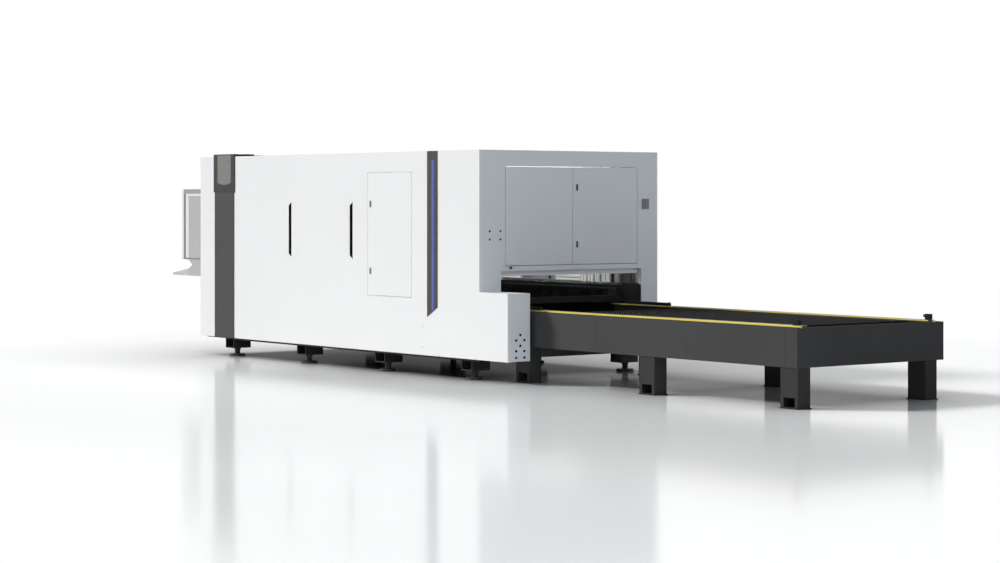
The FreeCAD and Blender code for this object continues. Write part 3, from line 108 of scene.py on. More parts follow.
def bump(tree, shader, height, strength, distance):
    """Lets a texture raise and sink a shader's surface."""
    node = tree.nodes.new("ShaderNodeBump")
    node.inputs["Strength"].default_value = strength
    node.inputs["Distance"].default_value = distance
    tree.links.new(height, node.inputs["Height"])
    tree.links.new(node.outputs["Normal"], shader.inputs["Normal"])


def orange_peel(tree, shader):
    """The fine waves of powder coat."""
    bump(tree, shader, noise(tree, 420.0, 2.0), 0.12, 0.4 * MM)


def shade(color, amount):
    """A colour made lighter or darker."""
    return tuple(channel * amount for channel in color)


def calculate(tree, operation, first, second=0):
    """A Math node; each operand is a socket or a number."""
    node = tree.nodes.new("ShaderNodeMath")
    node.operation = operation
    for socket, value in zip(node.inputs, (first, second)):
        if isinstance(value, (int, float)):
            socket.default_value = value
        else:
            tree.links.new(value, socket)
    return node.outputs[0]


def split(tree, vector):
    """The X, Y and Z of a vector socket."""
    node = tree.nodes.new("ShaderNodeSeparateXYZ")
    tree.links.new(vector, node.inputs[0])
    return node.outputs


def grey(tree, value):
    """A colour with one value in all its channels."""
    node = tree.nodes.new("ShaderNodeCombineColor")
    for channel in node.inputs:
        tree.links.new(value, channel)
    return node.outputs[0]


def mix_shaders(tree, factor, first, second):
    """A mix of two shaders; the factor is a socket or a number."""
    mix = tree.nodes.new("ShaderNodeMixShader")
    if isinstance(factor, float):
        mix.inputs[0].default_value = factor
    else:
        tree.links.new(factor, mix.inputs[0])
    tree.links.new(first, mix.inputs[1])
    tree.links.new(second, mix.inputs[2])
    return mix.outputs[0]


def painted(name, color, roughness, variation=0.03, specular=0.5):
    """Powder coat: a fine orange peel, slow changes of tone, and slightly uneven gloss."""
    material, tree, shader = new_material(name)
    slow = between(tree, noise(tree, 0.9), 0.0, 1.0)
    tree.links.new(tint(tree, slow, shade(color, 1 - variation), shade(color, 1 + variation * 0.3)),
                   shader.inputs["Base Color"])
    tree.links.new(between(tree, noise(tree, 6.0), roughness * 0.9, roughness * 1.15),
                   shader.inputs["Roughness"])
    orange_peel(tree, shader)
    shader.inputs["Specular IOR Level"].default_value = specular
    return material


def painted_rail(name, color, running):
    """Rails: painted along the outer edge and on the upper part of the sides, worn steel between."""
    material, tree, shader = new_material(name)
    coordinates = tree.nodes.new("ShaderNodeTexCoord")
    place = split(tree, coordinates.outputs["Object"])
    normal = split(tree, coordinates.outputs["Normal"])
    side = calculate(tree, "GREATER_THAN", calculate(tree, "ABSOLUTE", normal["Y"]), 0.5)
    aside = calculate(tree, "SUBTRACT", place["Y"], LANE_Y)
    outer = calculate(tree, "GREATER_THAN", calculate(tree, "ABSOLUTE", aside), PAINT_LINE)
    outward = calculate(tree, "GREATER_THAN", calculate(tree, "MULTIPLY", aside, normal["Y"]), 0)
    paint_depth = calculate(tree, "ADD", INNER_PAINT,
                            calculate(tree, "MULTIPLY", outward, OUTER_PAINT - INNER_PAINT))
    high = calculate(tree, "GREATER_THAN", calculate(tree, "ADD", place["Z"], paint_depth), RAIL_TOP)
    flat = calculate(tree, "SUBTRACT", 1, side)
    paint = calculate(tree, "MAXIMUM", calculate(tree, "MULTIPLY", side, high),
                      calculate(tree, "MULTIPLY", outer, flat))
    wear = between(tree, noise(tree, 30.0, 5.0, (0.08, 1, 1)), 0.0, 1.0)
    bare = tint(tree, wear, shade(running, 0.7), shade(running, 1.5))
    slow = between(tree, noise(tree, 1.6), 0.0, 1.0)
    coat = tint(tree, slow, shade(color, 0.94), shade(color, 1.03))
    tree.links.new(tint(tree, paint, bare, coat), shader.inputs["Base Color"])
    tree.links.new(between(tree, noise(tree, 12.0), 0.34, 0.5), shader.inputs["Roughness"])
    orange_peel(tree, shader)
    return material


def metal(name, color, roughness, stretch=(1, 1, 1)):
    """Bare metal with the direction of its grinding or rolling."""
    material, tree, shader = new_material(name)
    lines = noise(tree, 60.0, 4.0, stretch)
    tree.links.new(tint(tree, between(tree, lines, 0.0, 1.0), shade(color, 0.88), shade(color, 1.12)),
                   shader.inputs["Base Color"])
    tree.links.new(between(tree, lines, roughness * 0.8, roughness * 1.2), shader.inputs["Roughness"])
    shader.inputs["Metallic"].default_value = 1.0
    bump(tree, shader, noise(tree, 120.0, 3.0, stretch), 0.15, 0.3 * MM)
    return material


def burnt_steel(name, top, bare):
    """Slat steel: black with mill scale and spatter, and a set tone at the tips of the teeth: on the lower
    pallet a grey that is partly worn steel and partly a painted glint, on the upper pallet painted shade
    against the work light.
    """
    material, tree, shader = new_material(name)
    coordinates = tree.nodes.new("ShaderNodeTexCoord")
    height = split(tree, coordinates.outputs["Object"])["Z"]
    patches = between(tree, noise(tree, 9.0, 5.0), 0.0, 1.0)
    scale = tint(tree, patches, (0.006, 0.006, 0.007), (0.020, 0.018, 0.017))
    tip = between(tree, height, 0.0, 1.0, top - 6 * MM, top - 1 * MM)
    tree.links.new(tint(tree, tip, scale, (bare, bare, bare)), shader.inputs["Base Color"])
    tree.links.new(between(tree, noise(tree, 30.0, 4.0), 0.55, 0.8), shader.inputs["Roughness"])
    shader.inputs["Specular IOR Level"].default_value = 0.0
    bump(tree, shader, noise(tree, 500.0, 4.0), 0.35, 0.6 * MM)
    return material


def plastic(name, color, roughness, grain=0.1, specular=0.5):
    """Moulded plastic with a fine grain."""
    material, tree, shader = new_material(name)
    slow = between(tree, noise(tree, 14.0), 0.0, 1.0)
    tree.links.new(tint(tree, slow, shade(color, 0.96), shade(color, 1.04)), shader.inputs["Base Color"])
    tree.links.new(between(tree, noise(tree, 40.0), roughness * 0.9, roughness * 1.1),
                   shader.inputs["Roughness"])
    bump(tree, shader, noise(tree, 900.0, 2.0), grain, 0.3 * MM)
    shader.inputs["Specular IOR Level"].default_value = specular
    return material


def lit_strip(name, color, glow):
    """A frosted light line."""
    material, tree, shader = new_material(name)
    slow = between(tree, noise(tree, 3.0), 0.0, 1.0)
    tree.links.new(tint(tree, slow, shade(color, 0.94), shade(color, 1.04)), shader.inputs["Base Color"])
    tree.links.new(between(tree, noise(tree, 80.0), 0.22, 0.3), shader.inputs["Roughness"])
    shader.inputs["Emission Color"].default_value = (*color, 1)
    shader.inputs["Emission Strength"].default_value = glow
    return material


def tinted_glass(name, color, transmission, roughness=0.04):
    """Glass or a glossy screen, by how much light it lets through."""
    material, tree, shader = new_material(name)
    slow = between(tree, noise(tree, 2.0), 0.0, 1.0)
    tree.links.new(tint(tree, slow, shade(color, 0.95), shade(color, 1.05)), shader.inputs["Base Color"])
    tree.links.new(between(tree, noise(tree, 25.0), roughness * 0.8, roughness * 1.4),
                   shader.inputs["Roughness"])
    shader.inputs["Transmission Weight"].default_value = transmission
    shader.inputs["IOR"].default_value = 1.5
    return material


WHITE = painted("cabin_white", (0.85, 0.85, 0.85), 0.52, 0.012, 0.3)
ROOF = painted("roof_white", (0.85, 0.85, 0.85), 0.7, 0.012, 0.0)
# The end wall's white is the cabin's white paint made greyer and a little bluer: painted shade of the faces
# that look away from the key light.
SHADED_WALL_WHITE = painted("wall_white_painted_shade", (0.79, 0.82, 0.87), 0.40, 0.03)
BAND = painted("dark_band", (0.060, 0.058, 0.057), 0.5, 0.08, 0.25)
ROOF_BAND = painted("roof_band_black", (0.022, 0.022, 0.022), 0.6, 0.08, 0.0)
CAP = painted("cap_black", (0.030, 0.029, 0.028), 0.45, 0.08, 0.3)
LENS = plastic("lens_smoke", (0.185, 0.18, 0.168), 0.22, 0.03)
BLUE = lit_strip("light_blue", (0.075, 0.095, 0.40), 0.12)
FRAME = painted("frame_grey", (0.52, 0.53, 0.54), 0.45)
BLACK = painted("machine_black", (0.073, 0.073, 0.074), 0.6, 0.08, 0.0)
FOOT_BLACK = painted("foot_black", (0.020, 0.020, 0.021), 0.45, 0.10, 0.3)
# The legs' black is the beams' black made darker: painted shade under the table's beams.
SHADED_LEG_BLACK = painted("leg_black_painted_shade", (0.055, 0.055, 0.056), 0.6, 0.10, 0.0)
# Black darker than real black paint: painted shade, mostly of the parts that stand inside the cabin.
SHADED_DEEP_BLACK = painted("deep_black_painted_shade", (0.014, 0.014, 0.015), 0.6, 0.10, 0.12)
YELLOW = painted_rail("rail_yellow", (0.90, 0.73, 0.12), (0.022, 0.022, 0.023))
GROUND = metal("ground_steel", (0.55, 0.55, 0.56), 0.24, (0.05, 1, 1))
GUIDE = painted("guide_black", (0.010, 0.010, 0.011), 0.6, 0.10, 0.05)
# The tips' tone per pallet: the lower pallet's grey is partly bare steel and partly a painted glint of
# light on the teeth; the upper pallet's is held as dark as the scale, painted shade where the work light
# falls.
SLAT = {level: burnt_steel(level + "_slat_steel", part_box(level + "_pallet_slats")[1].z, bare)
        for level, bare in (("upper", 0.015), ("lower", 0.36))}
GANTRY = painted("gantry_cream", (0.62, 0.62, 0.58), 0.4, 0.04)
ALLOY = metal("alloy", (0.62, 0.63, 0.65), 0.32, (1, 0.05, 1))
CONSOLE = painted("console_grey", (0.46, 0.46, 0.455), 0.45, 0.04)
TRAY = painted("tray_grey", (0.54, 0.54, 0.53), 0.42, 0.03)
BEZEL = plastic("bezel_grey", (0.78, 0.78, 0.77), 0.4)
# Dark grey on the console's sides: painted shade of the steps behind its front frame.
STEP_SHADE = plastic("step_shade_dark", (0.20, 0.20, 0.195), 0.5)
# Darker grey of the console's top bar: painted shade of a face that looks away from the light.
SHADED_TOP_BAR = plastic("top_bar_shade_grey", (0.32, 0.32, 0.315), 0.45)
SCREEN = tinted_glass("screen_black", (0.012, 0.013, 0.016), 0.0, 0.08)
WINDOW = tinted_glass("window_glass", (0.10, 0.28, 0.14), 0.75)
LATCH = plastic("latch_black", (0.014, 0.014, 0.015), 0.5)
SIDE_LATCH = plastic("latch_grey", (0.20, 0.20, 0.20), 0.4)
RED = plastic("stop_red", (0.62, 0.02, 0.015), 0.28)
GREEN = plastic("start_green", (0.02, 0.36, 0.08), 0.28)
GREY_BOX = painted("call_grey", (0.22, 0.235, 0.26), 0.45, 0.05)
SCREW = metal("screw_zinc", (0.50, 0.50, 0.51), 0.35)
COPPER = metal("copper", (0.80, 0.42, 0.24), 0.28)
CERAMIC = plastic("ceramic", (0.80, 0.79, 0.74), 0.3)
# Black without gloss: painted shade of holes and recesses.
HOLE_SHADE_BLACK = plastic("hole_shade_black", (0.004, 0.004, 0.004), 0.8, specular=0.0)
KEYS = plastic("key_grey", (0.10, 0.10, 0.105), 0.5)
DUCT = painted("duct_cream", (0.70, 0.71, 0.67), 0.4, 0.05)
PLATE = painted("plate_grey", (0.24, 0.24, 0.23), 0.4, 0.05)

FINISHES = {
    WHITE: "side_panel_left side_panel_right front_side_panels front_end_panel "
           "side_door_left side_door_right front_door side_door_frames",
    ROOF: "roof_panels",
    SHADED_WALL_WHITE: "end_wall side_box rear_door_left rear_door_right lift_gate",
    BAND: "front_bands accent_strips",
    ROOF_BAND: "roof_band",
    CAP: "band_caps",
    LENS: "band_lenses",
    BLUE: "light_strips",
    FRAME: "cabin_frame rear_door_frame front_door_frame laser_source",
    BLACK: "table_beams table_covers shaft_bearings",
    SHADED_LEG_BLACK: "table_legs",
    SHADED_DEEP_BLACK: "base_frame bed_beams pallet_ledges entry_guides grip_cups upper_pallet_frame "
                "lower_pallet_frame stop_blocks",
    FOOT_BLACK: "foot_tubes levelling_feet",
    YELLOW: "track_rails",
    GROUND: "drive_shaft",
    GUIDE: "gantry_rails",
    SLAT["upper"]: "upper_pallet_slats",
    SLAT["lower"]: "lower_pallet_slats",
    GANTRY: "gantry_beam gear_motor",
    ALLOY: "cross_carriage cutting_head",
    CONSOLE: "console_body",
    TRAY: "keyboard_tray",
    GREY_BOX: "call_box",
    SCREEN: "console_screen",
    WINDOW: "front_window",
    LATCH: "rear_latch_upper rear_latch_lower",
    SIDE_LATCH: "side_latch_left_upper side_latch_left_lower side_latch_right_upper side_latch_right_lower",
    RED: "emergency_stop",
    GREEN: "start_button",
}

for finish, names in FINISHES.items():
    for name in names.split():
        nodes[name].data.materials.clear()
        nodes[name].data.materials.append(finish)


def add_bevel(thing, width, angle):
    """A small bevel on the edges that are sharper than an angle, so that they catch the light."""
    edge = thing.modifiers.new("Edge", "BEVEL")
    edge.width = width
    edge.segments = 2
    edge.limit_method = "ANGLE"
    edge.angle_limit = math.radians(angle)
    return edge


for name in ("side_door_left side_door_right rear_door_left rear_door_right console_body end_wall "
             "keyboard_tray call_box band_caps table_legs entry_guides stop_blocks").split():
    add_bevel(nodes[name], 1.2 * MM, 50).harden_normals = True


# ---------------------------------------------------------------- mesh helpers

def add_box(mesh, low, high):
    """A box between two corners."""
    corners = [Vector((x, y, z)) for x in (low[0], high[0]) for y in (low[1], high[1])
               for z in (low[2], high[2])]
    made = [mesh.verts.new(corner) for corner in corners]
    for face in ((0, 1, 3, 2), (4, 6, 7, 5), (0, 4, 5, 1), (2, 3, 7, 6), (0, 2, 6, 4), (1, 5, 7, 3)):
        mesh.faces.new([made[index] for index in face])


def join_rings(mesh, rings):
    """The faces between each ring of vertices and the next."""
    for first, second in zip(rings, rings[1:]):
        for index in range(len(first)):
            following = (index + 1) % len(first)
            mesh.faces.new((first[index], first[following], second[following], second[index]))


def circle(radius, sides):
    """The corners of a circle in its own plane."""
    angles = [step * 2 * math.pi / sides for step in range(sides)]
    return [(radius * math.cos(angle), radius * math.sin(angle)) for angle in angles]


def add_turned(mesh, centre, axis, profile, sides=24):
    """A turned part: profile lists (distance along the axis, radius), closed at both ends."""
    turn = Vector((0, 0, 1)).rotation_difference(Vector(axis).normalized()).to_matrix()
    rings = []
    for along, radius in profile:
        rings.append([mesh.verts.new(Vector(centre) + turn @ Vector((*corner, along)))
                      for corner in circle(radius, sides)])
    join_rings(mesh, rings)
    mesh.faces.new(list(reversed(rings[0])))
    mesh.faces.new(rings[-1])


def add_prism(mesh, outline, axis, low, high):
    """An outline in the plane across an axis, drawn out between two places on it."""
    def corner(point, place):
        values = list(point)
        values.insert("xyz".index(axis), place)
        return mesh.verts.new(Vector(values))

    near = [corner(point, low) for point in outline]
    far = [corner(point, high) for point in outline]
    join_rings(mesh, [near, far])
    mesh.faces.new(list(reversed(near)))
    mesh.faces.new(far)


def frame_round(mesh, low, high, front, rings):
    """A frame on a face that looks to -X: rings of (distance outside the box, height over the face)."""
    made = []
    for out, proud in rings:
        corners = ((low.y - out, low.z - out), (high.y + out, low.z - out),
                   (high.y + out, high.z + out), (low.y - out, high.z + out))
        made.append([mesh.verts.new((front - proud, *corner)) for corner in corners])
    join_rings(mesh, made)


def ring_round(mesh, centre, hole, radius, thickness, sides=32):
    """A flat ring with an eased rim on a face that looks to -X."""
    made = []
    for out, proud in ((radius, 0), (radius, thickness * 0.7), (radius - 1.2 * MM, thickness),
                       (hole, thickness), (hole, 0)):
        made.append([mesh.verts.new((centre[0] - proud, centre[1] + across, centre[2] + up))
                     for across, up in circle(out, sides)])
    join_rings(mesh, made)


def islands(name):
    """The low and high corners of each separate solid in a node's mesh, by x and then y."""
    data = nodes[name].data
    places = [tuple(round(value, 5) for value in vertex.co) for vertex in data.vertices]
    leader = {place: place for place in places}

    def find(place):
        while leader[place] != place:
            leader[place] = leader[leader[place]]
            place = leader[place]
        return place

    for edge in data.edges:
        leader[find(places[edge.vertices[0]])] = find(places[edge.vertices[1]])
    groups = {}
    for place in leader:
        groups.setdefault(find(place), []).append(place)
    corners = []
    for group in groups.values():
        low = Vector([min(place[axis] for place in group) for axis in range(3)])
        high = Vector([max(place[axis] for place in group) for axis in range(3)])
        corners.append((low, high))
    return sorted(corners, key=lambda pair: (pair[0].x, pair[0].y))


def piece(name, body, material, build, bevel=0.0):
    """A new piece: build fills its mesh, and it rides on a body and belongs to a slot."""
    mesh = bmesh.new()
    build(mesh)
    bmesh.ops.recalc_face_normals(mesh, faces=mesh.faces)
    data = bpy.data.meshes.new(name)
    mesh.to_mesh(data)
    mesh.free()
    thing = bpy.data.objects.new(name, data)
    bpy.context.scene.collection.objects.link(thing)
    data.materials.append(material)
    if bevel:
        add_bevel(thing, bevel, 40)
    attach(thing, body)
    return thing


# ---------------------------------------------------------------- slats with their fine teeth

SLAT_COUNT = 30
SLAT_THICKNESS = 4 * MM
WEB_HALF = 684 * MM
WEB_HEIGHT = 32 * MM
TOOTH_PITCH = 28 * MM
TOOTH_HEIGHT = 24 * MM
TIP_START, TIP_END = 0.75, 0.85    # shares of the pitch


def slat_outline(low, high):
    """Across the pallet: a web between the side tubes, then wider above them, with fine teeth."""
    valley = high.z - TOOTH_HEIGHT
    shoulder = low.z + WEB_HEIGHT
    half = (high.y - low.y) / 2
    teeth = round(2 * half / TOOTH_PITCH)
    points = [(LANE_Y - WEB_HALF, low.z), (LANE_Y + WEB_HALF, low.z), (LANE_Y + WEB_HALF, shoulder),
              (LANE_Y + half, shoulder)]
    for tooth in range(teeth):
        for share, height in ((0, valley), (TIP_START, high.z), (TIP_END, high.z)):
            points.append((LANE_Y + half * (1 - 2 * (tooth + share) / teeth), height))
    points += [(LANE_Y - half, valley), (LANE_Y - half, shoulder), (LANE_Y - WEB_HALF, shoulder)]
    return points


def slats(level):
    """The toothed slats of one pallet, in place of the plain ones of the CAD."""
    low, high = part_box(level + "_pallet_slats")
    pitch = (high.x - low.x - SLAT_THICKNESS) / (SLAT_COUNT - 1)
    outline = slat_outline(low, high)

    def build(mesh):
        for index in range(SLAT_COUNT):
            start = low.x + index * pitch
            add_prism(mesh, outline, "x", start, start + SLAT_THICKNESS)

    made = piece(level + "_toothed_slats", level + "_pallet", SLAT[level], build)
    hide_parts(level + "_pallet_slats")


slats("upper")
slats("lower")


# ---------------------------------------------------------------- fasteners

def screw(mesh, centre, outward, radius, height):
    """A domed screw head."""
    add_turned(mesh, centre, outward, [(0, radius), (height * 0.45, radius),
                                       (height * 0.85, radius * 0.72), (height, radius * 0.3)], 16)


def socket_screw(mesh, centre, outward, radius, height):
    """A round screw head with its recess."""
    add_turned(mesh, centre, outward,
               [(0, radius), (height * 0.85, radius), (height, radius * 0.88), (height, radius * 0.5),
                (height * 0.45, radius * 0.5)], 18)


def side_screws(mesh):
    """Four screws low on each side panel, where the real ones sit."""
    for distance, height in ((927, 499), (927, 294), (652, 225), (64, 225)):
        for place, outward in ((SIDE_LOW, -1), (SIDE_HIGH, 1)):
            screw(mesh, (WALL_X - distance * MM, place, height * MM), (0, outward, 0), 6 * MM, 2.5 * MM)


piece("side_screws", "machine", SCREW, side_screws)


def box_bolts(mesh):
    """Black socket screws in the side box's end, single ones and pairs: their black is painted shade of
    their holes.
    """
    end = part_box("side_box")[1].x
    for across, height in ((152, 470), (102, 419), (201, 419), (152, 367), (102, 317), (201, 316),
                           (102, 254), (201, 255)):
        socket_screw(mesh, (end, SIDE_LOW + across * MM, height * MM), (1, 0, 0), 12 * MM, 3 * MM)


piece("side_box_bolts", "machine", HOLE_SHADE_BLACK, box_bolts)


def wall_knob(mesh):
    """A round knob on the end wall under the rear doors."""
    add_turned(mesh, (WALL_X, SIDE_LOW + 376 * MM, 1093 * MM), (1, 0, 0),
               [(0, 9 * MM), (4 * MM, 9 * MM), (5 * MM, 13 * MM), (15 * MM, 13 * MM), (18 * MM, 9 * MM)])


piece("wall_knob", "machine", LATCH, wall_knob)


def end_ports(mesh):
    """Blind black sockets in the four holes of the end wall: their black is painted shade of the holes."""
    for across in (255.5, 126.5):
        for height in (1369, 1449):
            add_turned(mesh, (WALL_X - 7 * MM, SIDE_LOW + across * MM, height * MM), (1, 0, 0),
                       [(0, 10.8 * MM), (6.2 * MM, 10.8 * MM), (6.2 * MM, 8 * MM), (1.5 * MM, 7.5 * MM)])


piece("end_ports", "machine", HOLE_SHADE_BLACK, end_ports)


def foot_nuts(mesh):
    """Hexagon lock nuts under the tubes, and the round collars of the discs."""
    for low, high in islands("levelling_feet"):
        middle = (low + high) / 2
        add_turned(mesh, (middle.x, middle.y, 67 * MM), (0, 0, 1),
                   [(0, 33 * MM), (2 * MM, 36 * MM), (22 * MM, 36 * MM), (24.5 * MM, 33 * MM)], 6)
        add_turned(mesh, (middle.x, middle.y, 25.5 * MM), (0, 0, 1),
                   [(0, 36 * MM), (3 * MM, 32 * MM), (8 * MM, 30 * MM), (38 * MM, 30 * MM),
                    (41 * MM, 27 * MM)], 32)


piece("foot_nuts", "machine", FOOT_BLACK, foot_nuts)


def sills(mesh):
    """Folded dark sills along the lower edges of the side panels, over the base frame's flanks."""
    frame_low, frame_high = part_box("base_frame")
    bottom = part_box("side_panel_left")[0].z
    for place, inner, way in ((SIDE_LOW, frame_low.y, 1), (SIDE_HIGH, frame_high.y, -1)):
        outline = [(place + way * 4 * MM, bottom), (place + way * 4 * MM, bottom - 16 * MM),
                   (place + way * 7 * MM, bottom - 19 * MM), (inner, bottom - 19 * MM), (inner, bottom)]
        add_prism(mesh, outline, "x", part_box("front_bands")[1].x, WALL_X - 4 * MM)


piece("base_sills", "machine", SHADED_DEEP_BLACK, sills)


def leg_bolts(mesh):
    """A hexagon nut and a round headed bolt at the inner edge of the two legs next to the cabin."""
    height = 199 * MM
    for low, high in islands("table_legs")[:2]:
        across = high.y - 12 * MM if low.y < LANE_Y else low.y + 12 * MM
        add_turned(mesh, (high.x - 9 * MM, across, height), (1, 0, 0),
                   [(0, 14 * MM), (14 * MM, 14 * MM), (15 * MM, 12 * MM)], 6)
        add_turned(mesh, (high.x + 5 * MM, across, height), (1, 0, 0),
                   [(0, 8 * MM), (12 * MM, 8 * MM), (12.2 * MM, 13 * MM), (20 * MM, 13 * MM),
                    (22 * MM, 11 * MM)])


piece("leg_bolts", "machine", SHADED_DEEP_BLACK, leg_bolts)


def bumper_caps(mesh):
    """Rounded rubber caps over the stops' bumpers."""
    for low, high in islands("stop_blocks"):
        across = high.y - 28 * MM if low.y > LANE_Y else low.y + 28 * MM
        add_turned(mesh, (low.x + 0.2 * MM, across, high.z - 15 * MM), (1, 0, 0),
                   [(0, 5 * MM), (1.5 * MM, 10 * MM), (5 * MM, 14.2 * MM), (15 * MM, 14.6 * MM),
                    (16 * MM, 14.2 * MM)])


piece("bumper_caps", "machine", KEYS, bumper_caps)


# ---------------------------------------------------------------- console

def console_faces():
    """The y of each side face of the console, with the way it looks."""
    low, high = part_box("console_body")
    return (low.y, -1), (high.y, 1)


def side_plate(mesh, face, back, down, proud):
    """A thin plate on a side face of the console: mm back from its front edge and down from its top."""
    low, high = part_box("console_body")
    place, way = face
    raised = place + way * proud * MM
    add_box(mesh, (low.x + back[0] * MM, min(place, raised), high.z - down[1] * MM),
            (low.x + back[1] * MM, max(place, raised), high.z - down[0] * MM))


def console_edges(mesh):
    """Pale front edge and upright strip on each side, and a pale line under the top bar."""
    for face in console_faces():
        for back, down in (((1, 40), (1, 802)), ((88, 152), (51, 784)), ((152, 420), (51, 77))):
            side_plate(mesh, face, back, down, 1.2)


def console_step_shades(mesh):
    """A dark upright line behind each side's front edge, and a level one below it: painted shade of the
    steps behind the front frame, as thin plates on the flat side.
    """
    for face in console_faces():
        for back, down in (((42, 86), (51, 784)), ((42, 422), (786, 801))):
            side_plate(mesh, face, back, down, 0.5)


def console_top_bar(mesh):
    """The darker bar along the top of each side: its darker tone is painted shade of the back face of the
    frame above the console's body.
    """
    for face in console_faces():
        side_plate(mesh, face, (42, 422), (1, 49), 0.8)


def screen_bezel(mesh):
    """A frame round the screen, standing a little proud, with its edges sloping in."""
    low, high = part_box("console_screen")
    frame_round(mesh, low, high, low.x,
                ((28 * MM, 0.0), (26 * MM, 5 * MM), (4 * MM, 5 * MM), (0.0, 0.5 * MM)))


def button_collars(mesh):
    """Rings on the panel round the two buttons."""
    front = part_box("console_body")[0].x
    for name in ("emergency_stop", "start_button"):
        low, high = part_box(name)
        middle = (low + high) / 2
        radius = (high.z - low.z) / 2
        ring_round(mesh, (front, middle.y, middle.z), radius + 1.5 * MM, radius + 9 * MM, 3 * MM)


TRAY_SLOPE = 52 / 350
KEY_ROWS, KEY_COLUMNS = 5, 15
ROW_PITCH, COLUMN_PITCH = 21 * MM, 20 * MM
KEY_SIZE, KEY_HEIGHT = 17 * MM, 6 * MM
SPACE_BAR = range(4, 9)


def keyboard(mesh):
    """Rows of keys on the sloping tray; the space bar's keys touch."""
    low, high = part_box("keyboard_tray")
    start = (low.y + high.y - KEY_COLUMNS * COLUMN_PITCH) / 2
    for row in range(KEY_ROWS):
        back = 40 * MM + row * ROW_PITCH
        height = low.z + 27 * MM + back * TRAY_SLOPE
        for column in range(KEY_COLUMNS):
            across = start + column * COLUMN_PITCH
            joined = row == 0 and column in SPACE_BAR
            width = COLUMN_PITCH + 0.2 * MM if joined else KEY_SIZE
            add_box(mesh, (low.x + back, across, height),
                    (low.x + back + KEY_SIZE, across + width, height + KEY_HEIGHT))


piece("console_edges", "machine", BEZEL, console_edges, 0.4 * MM)
piece("console_step_shades", "machine", STEP_SHADE, console_step_shades)
piece("console_top_bar", "machine", SHADED_TOP_BAR, console_top_bar)
piece("screen_bezel", "machine", BEZEL, screen_bezel)
piece("button_collars", "machine", SCREW, button_collars)
piece("keyboard_keys", "machine", KEYS, keyboard, 1.2 * MM)


def call_button(mesh):
    """A small dark sounder at the call box's near side."""
    low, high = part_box("call_box")
    add_turned(mesh, (high.x - 0.5 * MM, low.y + 11 * MM, (low.z + high.z) / 2 + 3 * MM), (1, 0, 0),
               [(0, 6 * MM), (2 * MM, 6 * MM), (3 * MM, 4.5 * MM)])


def call_cover(mesh):
    """The call box's shallow cover plate."""
    low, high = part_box("call_box")
    add_box(mesh, (high.x - 0.5 * MM, low.y + 22 * MM, low.z + 8 * MM),
            (high.x + 2 * MM, high.y - 6 * MM, high.z - 8 * MM))


piece("call_button", "machine", LATCH, call_button)
piece("call_cover", "machine", GREY_BOX, call_cover, 1.0 * MM)


# ---------------------------------------------------------------- front door

def window_gasket(mesh):
    """A rubber lip round the window, from the door's face down to the glass."""
    low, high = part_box("front_window")
    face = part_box("front_door")[0].x
    frame_round(mesh, low, high, face,
                ((16 * MM, 0.0), (14 * MM, 3 * MM), (-6 * MM, 3 * MM), (-8 * MM, face - low.x)))


def door_handle(mesh):
    """A bow handle near the door's free edge."""
    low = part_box("front_door")[0]
    bottom, top = 980, 1180
    outline = [(0, bottom), (30, bottom), (42, bottom + 14), (42, top - 14), (30, top), (0, top),
               (0, top - 16), (24, top - 16), (28, top - 22), (28, bottom + 22), (24, bottom + 16),
               (0, bottom + 16)]
    add_prism(mesh, [(low.x - out * MM, height * MM) for out, height in outline], "y",
              low.y + 55 * MM, low.y + 75 * MM)


piece("window_gasket", "front_door", LATCH, window_gasket)
piece("front_door_handle", "front_door", LATCH, door_handle, 3 * MM)


# ---------------------------------------------------------------- side doors

LIP_HEIGHT = 3.5 * MM
PIVOT_ROOM = 26 * MM


def door_lips(name):
    """Pale sealing lips along a side door's top and bottom edges, short of its pivots."""
    low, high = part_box(name)

    def build(mesh):
        for bottom in (low.z - LIP_HEIGHT, high.z):
            add_box(mesh, (low.x + 2 * MM, low.y + 3 * MM, bottom),
                    (high.x - PIVOT_ROOM, high.y - 3 * MM, bottom + LIP_HEIGHT))

    piece(name + "_lips", name, WHITE, build)


door_lips("side_door_left")
door_lips("side_door_right")


# ---------------------------------------------------------------- inside the cabin

# The far wall's inner line, and the foot and head of what stands on it
FAR_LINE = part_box("side_panel_right")[0].y - 5.5 * MM
WALL_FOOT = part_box("gantry_rails")[1].z + 15 * MM
WALL_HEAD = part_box("cabin_frame")[1].z - 79 * MM

# Along the wall, metres in the row frame
DUCTS = ((-0.177, 0.104), (-0.064, 0.104), (0.064, 0.072), (0.168, 0.064), (0.240, 0.065))
SHADED_DUCT_GAPS = ((0.140, 0.164), (0.309, 0.372))
DUCT_RIBS = 2
VALVE_COUNT, VALVE_PITCH = 3, 43 * MM


def upright(mesh, points):
    """A profile standing on the far wall: points of (place along it, mm out from it)."""
    add_prism(mesh, [(along, FAR_LINE - out * MM) for along, out in points], "z", WALL_FOOT, WALL_HEAD)


def wall_ducts(mesh):
    """Upright ribbed ducts on the inside of the far wall, beside the gateway."""
    for start, width in DUCTS:
        step = width / DUCT_RIBS
        points = [(start, 0)]
        for rib in range(DUCT_RIBS):
            points += [(start + step * (rib + share), out) for share, out in
                       ((0.10, 0), (0.10, 38), (0.25, 47), (0.75, 47), (0.90, 38), (0.90, 0))]
        points.append((start + width, 0))
        upright(mesh, points)


def wall_gaps(mesh):
    """Dark strips between the ducts, shaped as cable trays: their black is painted shade of the gaps
    between the ducts.
    """
    for start, end in SHADED_DUCT_GAPS:
        upright(mesh, [(start, 0), (start, 24), (start + 6 * MM, 28), (end - 6 * MM, 28), (end, 24),
                       (end, 0)])


def duct_cover(mesh):
    """A grey cable cover after the ducts, with a folded lip."""
    upright(mesh, [(0.378, 0), (0.378, 42), (0.384, 48), (0.448, 48), (0.456, 38), (0.456, 0)])


